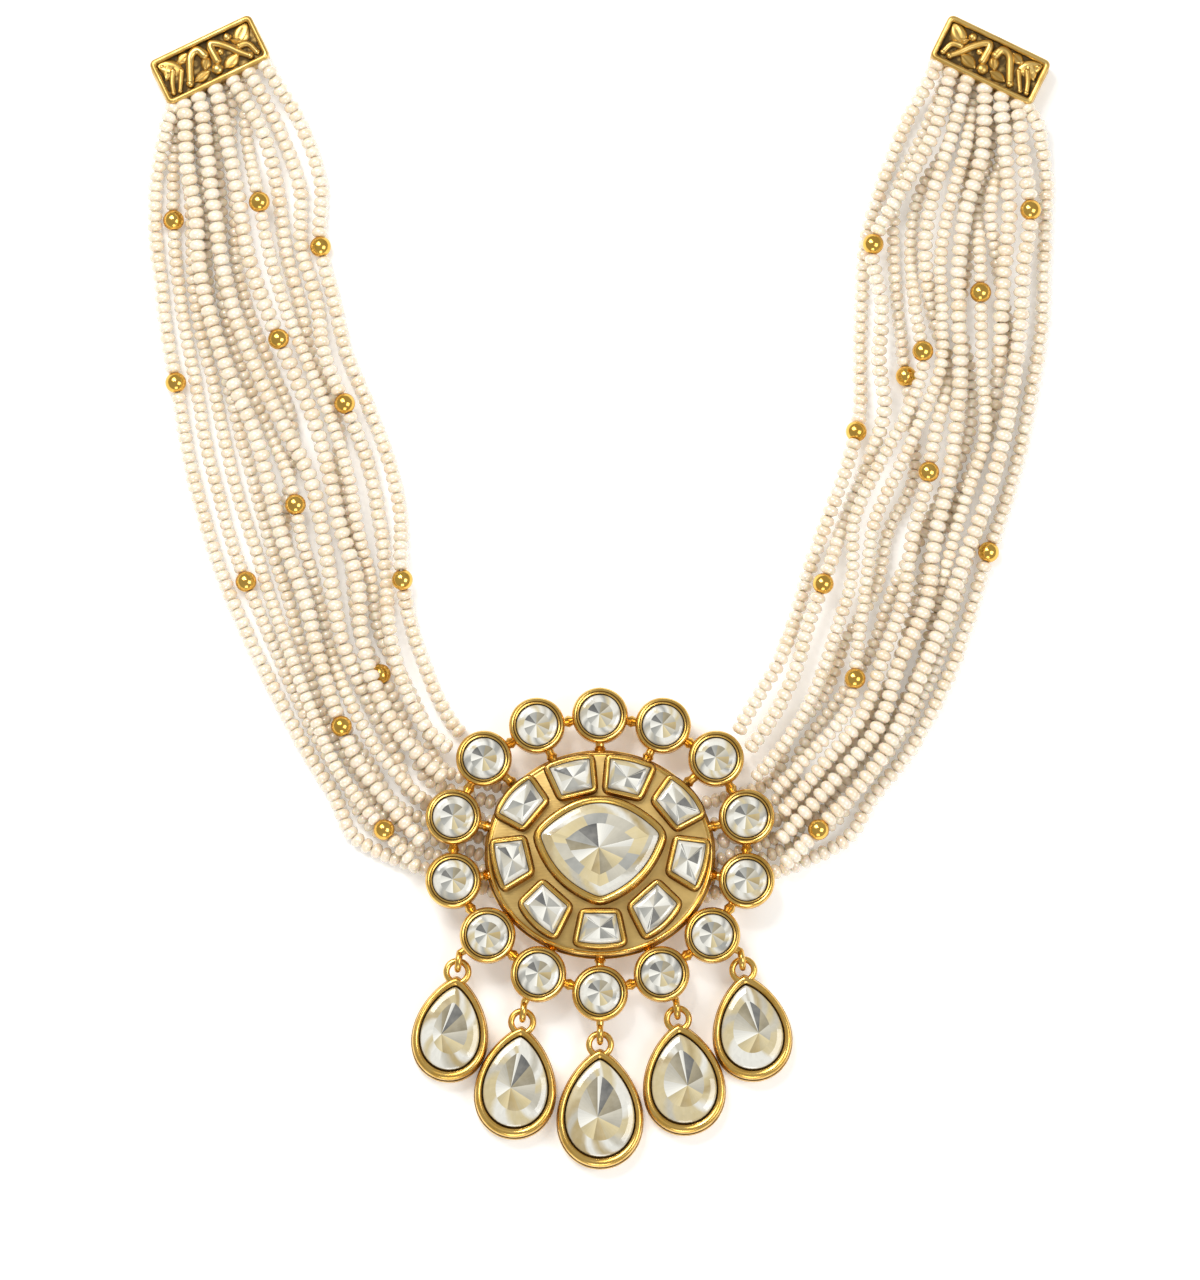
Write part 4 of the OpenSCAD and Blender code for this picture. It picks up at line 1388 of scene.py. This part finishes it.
def keystones() -> list[list[Point]]:
    """The keystones' outlines.

    Returns:
        The nine outlines, in the order of the solids' numbers.
    """
    half = [bulged(corners, bulges, EDGE_STEPS) for corners, bulges in HALF_KEYSTONES]
    low = bulged(*LOW_KEYSTONE, EDGE_STEPS)
    return half + [low] + [mirrored(points) for points in reversed(half)]


def pear(width: float, length: float, margin: float, count: int) -> list[Point]:
    """A pear outline, tip at the origin and pointing up.

    Args:
        width: The pear's width.
        length: Its length.
        margin: How far the outline is drawn in from them.
        count: The number of points.

    Returns:
        The outline's points.
    """
    across = width - 2 * margin
    down = length - 2 * PEAR_ENDS * margin
    points = []
    for i in range(count):
        a = math.tau * i / count
        x = -across / 2 / PEAR_FULL * math.sin(a) * abs(math.sin(a / 2)) ** 0.5
        points.append((x, -down / 2 * (1 - math.cos(a)) - PEAR_ENDS * margin))
    return points


# The pendant's core, as half width, half height and height over the surface
CORE = ((17.1, 15.2, 0.0), (17.5, 15.6, 0.4), (17.5, 15.6, 4.6))
# The rolled edge of its oval, as distance out from the oval and height
OVAL_FOOT = ((0.1, 4.35), (0.4, 4.5), (0.42, 4.95))
# The groove between the foot and the roll is painted dark as shade
OVAL_GROOVE = ((0.3, 5.1), (0.02, 5.16))
OVAL_ROLL = (
    (0.0, 5.3), (0.0, 6.5), (-0.05, 6.78), (-0.17, 6.97), (-0.34, 7.06), (-0.52, 7.06), (-0.68, 6.99),
)
OVAL_FACE = ((-0.8, 6.9), (-0.98, FACE_Z - 0.03), (-1.15, FACE_Z))
# A round cup, as radius, height and whether the band up to it is painted dark as shade, in its grooves and
# inside wall
CUP_PROFILE = (
    (0.0, 3.9, False), (4.25, 3.9, False), (4.55, 4.05, False), (4.86, 4.5, False), (4.95, 5.0, False),
    (4.9, 5.4, True), (4.97, 5.62, False), (4.98, 7.3, False), (4.93, 7.72, False), (4.8, 8.05, False),
    (4.62, 8.26, False), (4.44, 8.34, False), (4.28, 8.28, False), (4.2, 8.12, True), (4.12, 8.14, True),
    (4.06, 8.3, False), (3.95, 8.34, False), (3.85, 8.24, False), (3.79, 8.02, False), (3.77, 7.82, True),
    (3.76, 6.3, True), (0.0, 6.3, True),
)
# A bezel's foot, as distance in from its outline and height over the oval's face
BEZEL_FOOT = ((-0.3, -0.1), (-0.26, 0.02), (-0.03, 0.16), (0.0, 0.4))
# Its rim, as part of the rim's width and depth under its top
BEZEL_RIM = (
    (0.0, 0.5), (0.05, 0.24), (0.2, 0.06), (0.4, 0.0), (0.6, 0.04), (0.78, 0.17), (0.92, 0.36), (1.0, 0.58),
)
# A bar's thickness at each of its points, which lie at these parts of its length
BAR_SHAPE = ((0.0, 1.1), (0.3, 0.95), (0.5, 1.35), (0.7, 0.95), (1.0, 1.1))


@dataclass
class Pendant:
    """The soldered pendant: back, satin oval, bezels, cups, bars and the drops' loops."""

    finishes: Finishes
    oval_x: float = 20.1
    oval_y: float = 18.2
    oval_steps: int = 128
    floor_up: float = 0.05
    wall_in: float = 0.02
    wall_up: float = 0.1
    bezel_rim: float = 0.84
    centre_rim: float = 1.2
    bezel_z: float = 9.0
    centre_z: float = 9.55
    cup_steps: int = 56
    bar_r: float = 0.8
    bar_z: float = 5.3
    bar_part: float = 0.34
    bar_in_oval: float = 0.6
    bar_in_cup: float = 4.6
    loop_r: float = 1.5
    loop_wire: float = 0.6
    loop_z: float = 3.9
    loop_back: float = 1.95
    loop_steps: int = 40
    loop_sides: int = 14
    stub_up: float = 0.75
    stub_back: float = 1.3
    stub_part: float = 0.75
    stub_radii: tuple[float, float] = (0.75, 0.66)
    smooth_deg: float = 38.0
    gold: int = 0
    satin: int = 1
    crease_shade: int = 2

    def body(self, bm: bmesh.types.BMesh) -> None:
        """The core and the oval with its rolled edge.

        Args:
            bm: The mesh to add to.
        """
        core = [(oval(x, y, self.oval_steps), z) for x, y, z in CORE]
        stack(bm, core, [self.gold] * len(core))
        outlines = [(oval(self.oval_x + d, self.oval_y + d, self.oval_steps), z)
                    for d, z in OVAL_FOOT + OVAL_GROOVE + OVAL_ROLL + OVAL_FACE]
        stack(bm, outlines, [self.gold] * len(OVAL_FOOT) + [self.crease_shade] * len(OVAL_GROOVE)
              + [self.gold] * len(OVAL_ROLL) + [self.satin] * len(OVAL_FACE))

    def bezel(self, bm: bmesh.types.BMesh, points: list[Point], top: float, rim: float) -> None:
        """One bezel: a flared foot in a crease painted dark as shade, a rounded rim and an inner wall painted
        dark as shade.

        Args:
            bm: The mesh to add to.
            points: Its outline.
            top: Its height.
            rim: Its thickness.
        """
        floor = FACE_Z + self.floor_up
        profile = [(d, floor + up) for d, up in BEZEL_FOOT]
        profile += [(rim * part, top - down) for part, down in BEZEL_RIM]
        profile.append((rim + self.wall_in, floor + self.wall_up))
        materials = [self.crease_shade, self.crease_shade] + [self.gold] * 8 + [self.crease_shade] * 3
        stack(bm, [(eased(drawn_in(points, d), CORNER_EASE), z) for d, z in profile], materials)

    def cup(self, bm: bmesh.types.BMesh, x: float, y: float) -> None:
        """One round cup with its rolled rim.

        Args:
            bm: The mesh to add to.
            x: Its middle's place across the pendant.
            y: Its middle's place up the pendant.
        """
        # Its grooves and inside wall are painted dark as shade
        profile = [(r, z, self.crease_shade if dark else self.gold) for r, z, dark in CUP_PROFILE]
        turned(bm, profile, Vector((x, y, 0)), self.cup_steps)

    def bar(self, bm: bmesh.types.BMesh, start: Vector, end: Vector) -> None:
        """One bar between two cups or a cup and the oval, with a bead of solder on it.

        Args:
            bm: The mesh to add to.
            start: One end.
            end: The other.
        """
        sweep(bm, [start.lerp(end, part) for part, _ in BAR_SHAPE],
              [self.bar_r * thick for _, thick in BAR_SHAPE], ROD_SIDES, self.gold)

    def bars(self, bm: bmesh.types.BMesh) -> None:
        """The bars from each cup to the next one and to the oval.

        Args:
            bm: The mesh to add to.
        """
        for i, (x, y) in enumerate(CUPS):
            cup = Vector((x, y, self.bar_z))
            following = Vector((*CUPS[(i + 1) % len(CUPS)], self.bar_z))
            self.bar(bm, cup.lerp(following, self.bar_part), cup.lerp(following, 1 - self.bar_part))
            reach = math.hypot(x, y)
            edge = 1 / math.hypot(x / reach / self.oval_x, y / reach / self.oval_y)
            ends = [part / reach for part in (edge - self.bar_in_oval, reach - self.bar_in_cup)]
            self.bar(bm, *(Vector((x * part, y * part, self.bar_z)) for part in ends))

    def loops(self, bm: bmesh.types.BMesh) -> None:
        """The upright loop that each drop's ring hangs from, and its stub.

        Args:
            bm: The mesh to add to.
        """
        for drop in DROPS:
            way = drop.way()
            centre = Vector((*drop.ring, self.loop_z)) - way * self.loop_back
            torus(bm, facing(centre, UP.cross(way)), self.loop_r, self.loop_wire, self.gold,
                  self.loop_steps, self.loop_sides)
            cup = Vector((*CUPS[drop.cup], self.loop_z + self.stub_up))
            near = centre + UP * self.stub_up - way * self.stub_back
            sweep(bm, [cup.lerp(near, self.stub_part), near], list(self.stub_radii), ROD_SIDES, self.gold)

    def build(self) -> bpy.types.Object:
        """The pendant's metal as one piece.

        Returns:
            The new object.
        """
        bm = bmesh.new()
        self.body(bm)
        for points in keystones():
            self.bezel(bm, points, self.bezel_z, self.bezel_rim)
        self.bezel(bm, bulged(*CENTRE, EDGE_STEPS * 2), self.centre_z, self.centre_rim)
        for x, y in CUPS:
            self.cup(bm, x, y)
        self.bars(bm)
        self.loops(bm)
        bmesh.ops.scale(bm, vec=(MM, MM, MM), verts=bm.verts[:])
        return finished("pendant_metal", bm, [self.finishes.gold, self.finishes.satin, self.finishes.crease_shade],
                        ["pendant"], self.smooth_deg)


# Tones of the foil under the stones, with the reflections and shade of its facets painted in

WHITE = (0.67, 0.66, 0.60)
PALE = (0.43, 0.405, 0.33)
SILVER = (0.29, 0.29, 0.265)
SLATE = (0.10, 0.10, 0.095)
CHAMPAGNE = (0.52, 0.435, 0.24)
HONEY = (0.38, 0.29, 0.13)
TAUPE = (0.25, 0.215, 0.135)
RIM_SHADE = (0.08, 0.06, 0.035)
# The tones of the stones' stars, anticlockwise from the first point of the outline: painted reflections,
# light and dark from facet to facet
ROUND_TONES = (PALE, TAUPE, SILVER, SLATE, WHITE, SILVER, WHITE, CHAMPAGNE, PALE, HONEY)
KEYSTONE_TONES = (SILVER, WHITE, SLATE, PALE, WHITE, SILVER, PALE, WHITE)
CENTRE_TONES = (
    TAUPE, CHAMPAGNE, PALE, WHITE, PALE, WHITE, SLATE, SILVER, TAUPE, WHITE, CHAMPAGNE, HONEY,
)
DROP_TONES = (WHITE, TAUPE, PALE, WHITE, CHAMPAGNE, HONEY, CHAMPAGNE, PALE, TAUPE, SLATE)
# The crowns' painted sparkle, one tone to a facet round the stone
CLEAR_CROWN = (WHITE, WHITE, PALE, CHAMPAGNE, WHITE, SILVER)
WARM_CROWN = (CHAMPAGNE, WHITE, CHAMPAGNE, PALE, WHITE, HONEY)
# Their outlines from the girdle up: the round ones' radius, the others' distance in, and height
ROUND_PROFILE = ((3.66, 6.35), (3.66, 7.7), (3.6, 7.86), (3.42, 8.02), (2.95, 8.22), (2.3, 8.3))
KEYSTONE_PROFILE = ((0.86, 7.15), (0.86, 8.42), (0.93, 8.5), (1.06, 8.62), (1.35, 8.84), (1.75, 8.96))
CENTRE_PROFILE = ((1.22, 7.15), (1.22, 8.9), (1.3, 9.0), (1.5, 9.1), (2.2, 9.36), (3.0, 9.46))
DROP_PROFILE = ((1.62, 2.55), (1.62, 4.12), (1.7, 4.3), (1.9, 4.46), (2.7, 4.72), (3.8, 4.86))
STONE_STEPS = 48


@dataclass
class Stone:
    """A foil backed stone: girdle, crown and a table whose star of facets meets off centre, with the foil's
    reflections painted into its facets and painted shade at its girdle.
    """

    name: str
    node: str
    outlines: list[tuple[list[Point], float]]
    star: Vector
    tones: tuple[Colour, ...]
    first: float
    crown: tuple[Colour, ...]
    crown_cells: int
    finishes: Finishes
    star_part: float = 0.0
    shade_low: float = 0.82
    shade_range: float = 0.36
    tip_shade: float = 1.1
    ring_range: float = 0.2
    crown_range: float = 0.06
    blend_from: float = 0.3
    blend_over: float = 0.4
    girdle: int = 2
    smooth_deg: float = 3.0

    def paint(self, face: bmesh.types.BMFace, layer: bmesh.types.BMLayerItem, colours: list[Colour],
              shades: list[float]) -> None:
        """Gives each of a face's corners its colour at its shade.

        Args:
            face: The face.
            layer: The colour layer.
            colours: The colour of each corner.
            shades: What each colour is multiplied by.
        """
        for loop, colour, shade in zip(face.loops, colours, shades):
            loop[layer] = (*(min(1.0, channel * shade) for channel in colour), 1.0)

    def crown_tone(self, cells: list[Colour], part: float, level: int) -> Colour:
        """The crown's painted reflection at one point, changing quickly from facet to facet and slanting with
        the level.

        Args:
            cells: The tone of each facet round the stone.
            part: How far round the stone the point lies, from 0 to 1.
            level: The outline that it lies on.

        Returns:
            The colour.
        """
        cell = (part * len(cells) + 0.5 * level) % len(cells)
        low, high = cells[int(cell)], cells[(int(cell) + 1) % len(cells)]
        mix = min(1.0, max(0.0, (cell % 1.0 - self.blend_from) / self.blend_over))
        return tuple(a + (b - a) * mix for a, b in zip(low, high))

    def layers(self) -> list[tuple[list[Point], float]]:
        """The outlines, with the ring round an inner star where the stone has one.

        Returns:
            The outlines and their heights.
        """
        if not self.star_part:
            return self.outlines
        edge, edge_z = self.outlines[-1]
        centre = self.star.xy
        inner = [tuple(centre.lerp(Vector(point), self.star_part)) for point in edge]
        return self.outlines + [(inner, self.star.z + (edge_z - self.star.z) * self.star_part)]

    def build(self) -> bpy.types.Object:
        """The stone as one piece.

        Returns:
            The new object.
        """
        rng = random.Random(self.name)
        bm = bmesh.new()
        foil = bm.loops.layers.float_color.new("foil")
        outlines = self.layers()
        rings = stack(bm, outlines, [0] * len(outlines))
        count = len(rings[0])
        tones = len(self.tones)
        place = {vert: (level, i) for level, ring in enumerate(rings) for i, vert in enumerate(ring)}
        top = set(rings[-1])
        table = next(face for face in bm.faces if all(vert in top for vert in face.verts))
        middle = bmesh.ops.poke(bm, faces=[table])["verts"][0]
        middle.co = self.star
        cells = [rng.choice(self.crown) for _ in range(self.crown_cells)]
        for face in bm.faces:
            corners = len(face.verts)
            levels, spots = zip(*(place[vert] for vert in face.verts if vert is not middle))
            spot = max(spots) if max(spots) - min(spots) > count / 2 else min(spots)
            sector = ((spot + 0.5) / count - self.first) % 1.0 * tones
            # The star's facets: painted reflections, each brighter towards its tip
            if middle in face.verts[:]:
                shade = self.shade_low + self.shade_range * (sector % 1.0)
                shades = [shade * (self.tip_shade if loop.vert is middle else 1.0) for loop in face.loops]
                self.paint(face, foil, [self.tones[int(sector)]] * corners, shades)
            # The ring round an inner star: painted reflections offset from the star's
            elif self.star_part and max(levels) == len(rings) - 1:
                sector = (sector + 0.5) % tones
                tone = self.tones[(int(sector) * 3 + 1) % tones]
                self.paint(face, foil, [tone] * corners, [1.0 + self.ring_range * (sector % 1.0)] * corners)
            # The girdle: painted shade
            elif max(levels) <= self.girdle:
                rim = RIM_SHADE if max(levels) < self.girdle else TAUPE
                self.paint(face, foil, [rim] * corners, [1.0] * corners)
            # The crown: painted sparkle, a little lighter or darker at random
            else:
                colours = [self.crown_tone(cells, place[loop.vert][1] / count, place[loop.vert][0])
                           for loop in face.loops]
                shades = [rng.uniform(1.0 - self.crown_range, 1.0 + self.crown_range) for _ in face.loops]
                self.paint(face, foil, colours, shades)
        bmesh.ops.scale(bm, vec=(MM, MM, MM), verts=bm.verts[:])
        return finished(self.name, bm, [self.finishes.stone], [self.node], self.smooth_deg)


@dataclass
class Stones:
    """Every stone of the pendant and drops."""

    finishes: Finishes
    round_star: Point3 = (-0.1, 0.15, 8.42)
    round_turn: Point = (0.02, 0.012)
    keystone_z: float = 9.2
    keystone_turn: float = 0.125
    centre_star: Point3 = (-0.2, 0.9, 9.78)
    centre_turn: float = 0.01
    centre_ring: float = 0.7
    drop_z: float = 5.02
    drop_turn: float = -0.05
    round_cells: int = 24
    keystone_cells: int = 16
    centre_cells: int = 18
    drop_cells: int = 20

    def round_stone(self, number: int, x: float, y: float) -> Stone:
        """A round stone in its cup.

        Args:
            number: The stone's number.
            x: The cup's place across the pendant.
            y: The cup's place up the pendant.

        Returns:
            The stone.
        """
        outlines = [([(x + px, y + py) for px, py in oval(r, r, STONE_STEPS)], z) for r, z in ROUND_PROFILE]
        turn, turn_more = self.round_turn
        return Stone(f"round_{number}_foil", f"round_stone_{number}", outlines,
                     Vector((x, y, 0)) + Vector(self.round_star), ROUND_TONES,
                     turn + turn_more * (number % 3), CLEAR_CROWN, self.round_cells, self.finishes)

    def keystone(self, number: int, points: list[Point]) -> Stone:
        """A four sided stone, whose facets meet at its middle.

        Args:
            number: The stone's number.
            points: Its bezel's outline.

        Returns:
            The stone.
        """
        outlines = [(eased(drawn_in(points, d), CORNER_EASE), z) for d, z in KEYSTONE_PROFILE]
        x, y = (sum(values) / len(points) for values in zip(*points))
        return Stone(f"keystone_{number}_foil", f"keystone_{number}", outlines,
                     Vector((x, y, self.keystone_z)), KEYSTONE_TONES, self.keystone_turn * (number % 2),
                     CLEAR_CROWN, self.keystone_cells, self.finishes)

    def centre(self) -> Stone:
        """The three sided middle stone.

        Returns:
            The stone.
        """
        points = bulged(*CENTRE, EDGE_STEPS * 2)
        outlines = [(eased(drawn_in(points, d), CORNER_EASE), z) for d, z in CENTRE_PROFILE]
        return Stone("centre_foil", "centre_stone", outlines, Vector(self.centre_star), CENTRE_TONES,
                     self.centre_turn, WARM_CROWN, self.centre_cells, self.finishes, self.centre_ring)

    def drop(self, number: int, plan: DropPlan) -> Stone:
        """A pear stone.

        Args:
            number: The drop's number.
            plan: The drop.

        Returns:
            The stone.
        """
        tip = plan.tip().xy
        turn = Matrix.Rotation(math.radians(plan.turn), 2)
        outlines = []
        for margin, z in DROP_PROFILE:
            points = pear(plan.width, plan.length, margin, STONE_STEPS)
            outlines.append(([tuple(tip + turn @ Vector(point)) for point in points], z))
        return Stone(f"drop_{number}_foil", f"drop_stone_{number}", outlines,
                     Vector((*plan.star, self.drop_z)), DROP_TONES, self.drop_turn, WARM_CROWN,
                     self.drop_cells, self.finishes)

    def plans(self) -> list[Stone]:
        """Every stone, ready to be built.

        Returns:
            The stones.
        """
        stones = [self.centre()]
        stones += [self.keystone(i + 1, points) for i, points in enumerate(keystones())]
        stones += [self.round_stone(i + 1, x, y) for i, (x, y) in enumerate(CUPS)]
        return stones + [self.drop(i + 1, plan) for i, plan in enumerate(DROPS)]


# A drop's wall, as distance in from its outline and height, in millimetres
DROP_FOOT = ((0.15, 0.0), (0.0, 0.2), (0.0, 2.2))
# The groove and the inside wall are painted dark as shade
DROP_GROOVE = ((0.07, 2.45), (0.28, 2.5), (0.3, 2.72))
DROP_ROLL = (
    (0.22, 2.9), (0.2, 3.75), (0.26, 4.12), (0.38, 4.38), (0.58, 4.55), (0.78, 4.6), (1.02, 4.55),
    (1.24, 4.38), (1.4, 4.12),
)
DROP_INSIDE = ((1.5, 3.85), (1.52, 2.45))


@dataclass
class DropSetting:
    """The gold pear around a drop's stone, with its jump ring."""

    number: int
    finishes: Finishes
    ring_r: float = 1.95
    ring_wire: float = 0.57
    ring_z: float = 3.9
    ring_steps: int = 48
    ring_sides: int = 16
    pear_steps: int = 64
    smooth_deg: float = 38.0
    gold: int = 0
    crease_shade: int = 1

    def build(self) -> bpy.types.Object:
        """The setting as one piece.

        Returns:
            The new object.
        """
        plan = DROPS[self.number - 1]
        bm = bmesh.new()
        profile = DROP_FOOT + DROP_GROOVE + DROP_ROLL + DROP_INSIDE
        # The groove and the inside wall get the painted shade
        materials = ([self.gold] * len(DROP_FOOT) + [self.crease_shade] * len(DROP_GROOVE)
                     + [self.gold] * len(DROP_ROLL) + [self.crease_shade] * len(DROP_INSIDE))
        stack(bm, [(pear(plan.width, plan.length, d, self.pear_steps), z) for d, z in profile], materials)
        place = Matrix.Translation(plan.tip()) @ Matrix.Rotation(math.radians(plan.turn), 4, "Z")
        bmesh.ops.transform(bm, matrix=place, verts=bm.verts[:])
        torus(bm, Matrix.Translation((*plan.ring, self.ring_z)), self.ring_r, self.ring_wire, self.gold,
              self.ring_steps, self.ring_sides)
        bmesh.ops.scale(bm, vec=(MM, MM, MM), verts=bm.verts[:])
        return finished(f"drop_{self.number}_metal", bm, [self.finishes.gold, self.finishes.crease_shade],
                        [f"drop_setting_{self.number}"], self.smooth_deg)


# The soft lights, as name, place, side, power in watts and tint
LIGHTS = (
    ("key", (-0.32, 0.42, 0.62), 0.4, 3.8, (1.0, 0.985, 0.96)),
    ("fill", (0.45, -0.1, 0.6), 0.4, 2.0, (0.985, 0.99, 1.0)),
    ("glint", (-0.12, 0.3, 0.7), 0.07, 0.7, (1.0, 1.0, 1.0)),
    ("low", (0.0, -0.6, 0.3), 0.3, 0.9, (1.0, 1.0, 1.0)),
)


@dataclass
class Studio:
    """The camera, the paper floor and the soft lights."""

    finishes: Finishes
    aim: Vector = field(default_factory=lambda: Vector((0, 0.0384, 0.004)))
    distance: float = 1.583
    elevation_deg: float = 84.0
    lens_mm: float = 250.0
    sensor_mm: float = 36.0
    near_clip: float = 0.01
    paper_half: float = 1.6
    world: float = 0.45

    def camera(self) -> None:
        """The camera at the photograph's angle."""
        data = bpy.data.cameras.new("camera")
        data.lens = self.lens_mm
        data.sensor_width = self.sensor_mm
        data.clip_start = self.near_clip
        camera = bpy.data.objects.new("camera", data)
        bpy.context.scene.collection.objects.link(camera)
        rise = math.radians(self.elevation_deg)
        away = Vector((0, -math.cos(rise), math.sin(rise)))
        camera.location = self.aim + away * self.distance
        camera.rotation_euler = (-away).to_track_quat("-Z", "Y").to_euler()
        bpy.context.scene.camera = camera

    def light(self, name: str, place: Point3, size: float, power: float, tint: Colour) -> None:
        """One square soft light aimed at the necklace.

        Args:
            name: The light's name.
            place: Where it stands.
            size: Its side.
            power: Its power in watts.
            tint: Its colour.
        """
        data = bpy.data.lights.new(name, "AREA")
        data.shape = "SQUARE"
        data.size = size
        data.energy = power
        data.color = tint
        light = bpy.data.objects.new(name, data)
        bpy.context.scene.collection.objects.link(light)
        light.location = place
        light.rotation_euler = (self.aim - Vector(place)).to_track_quat("-Z", "Y").to_euler()

    def floor(self) -> None:
        """The paper under the necklace."""
        bm = bmesh.new()
        bmesh.ops.create_grid(bm, x_segments=1, y_segments=1, size=self.paper_half)
        mesh = bpy.data.meshes.new("paper")
        bm.to_mesh(mesh)
        bm.free()
        mesh.materials.append(self.finishes.floor)
        floor = bpy.data.objects.new("paper", mesh)
        bpy.context.scene.collection.objects.link(floor)

    def build(self) -> None:
        """The whole studio."""
        self.camera()
        self.floor()
        for light in LIGHTS:
            self.light(*light)
        world = bpy.data.worlds.new("studio")
        world.use_nodes = True
        background = world.node_tree.nodes["Background"]
        background.inputs["Color"].default_value = (1.0, 1.0, 1.0, 1.0)
        background.inputs["Strength"].default_value = self.world
        bpy.context.scene.world = world
        bpy.context.scene.view_settings.view_transform = "Standard"


def report(piece: bpy.types.Object) -> None:
    """Logs a finished piece."""
    LOG.info("%s: %d faces", piece.name, len(piece.data.polygons))


def main() -> None:
    """Builds the necklace, from the strands to the drops, and the studio round it."""
    logging.basicConfig(level=logging.INFO, format="%(name)s: %(message)s")
    finishes = Finishes()
    Studio(finishes).build()
    for name in STRANDS:
        report(PearlStrand(name, finishes).build())
    for side in Side:
        report(GoldBeads(side, finishes).build())
        report(EndPlate(side, finishes).build())
    report(Pendant(finishes).build())
    for stone in Stones(finishes).plans():
        report(stone.build())
    for i in range(len(DROPS)):
        report(DropSetting(i + 1, finishes).build())


if __name__ == "__main__":
    main()
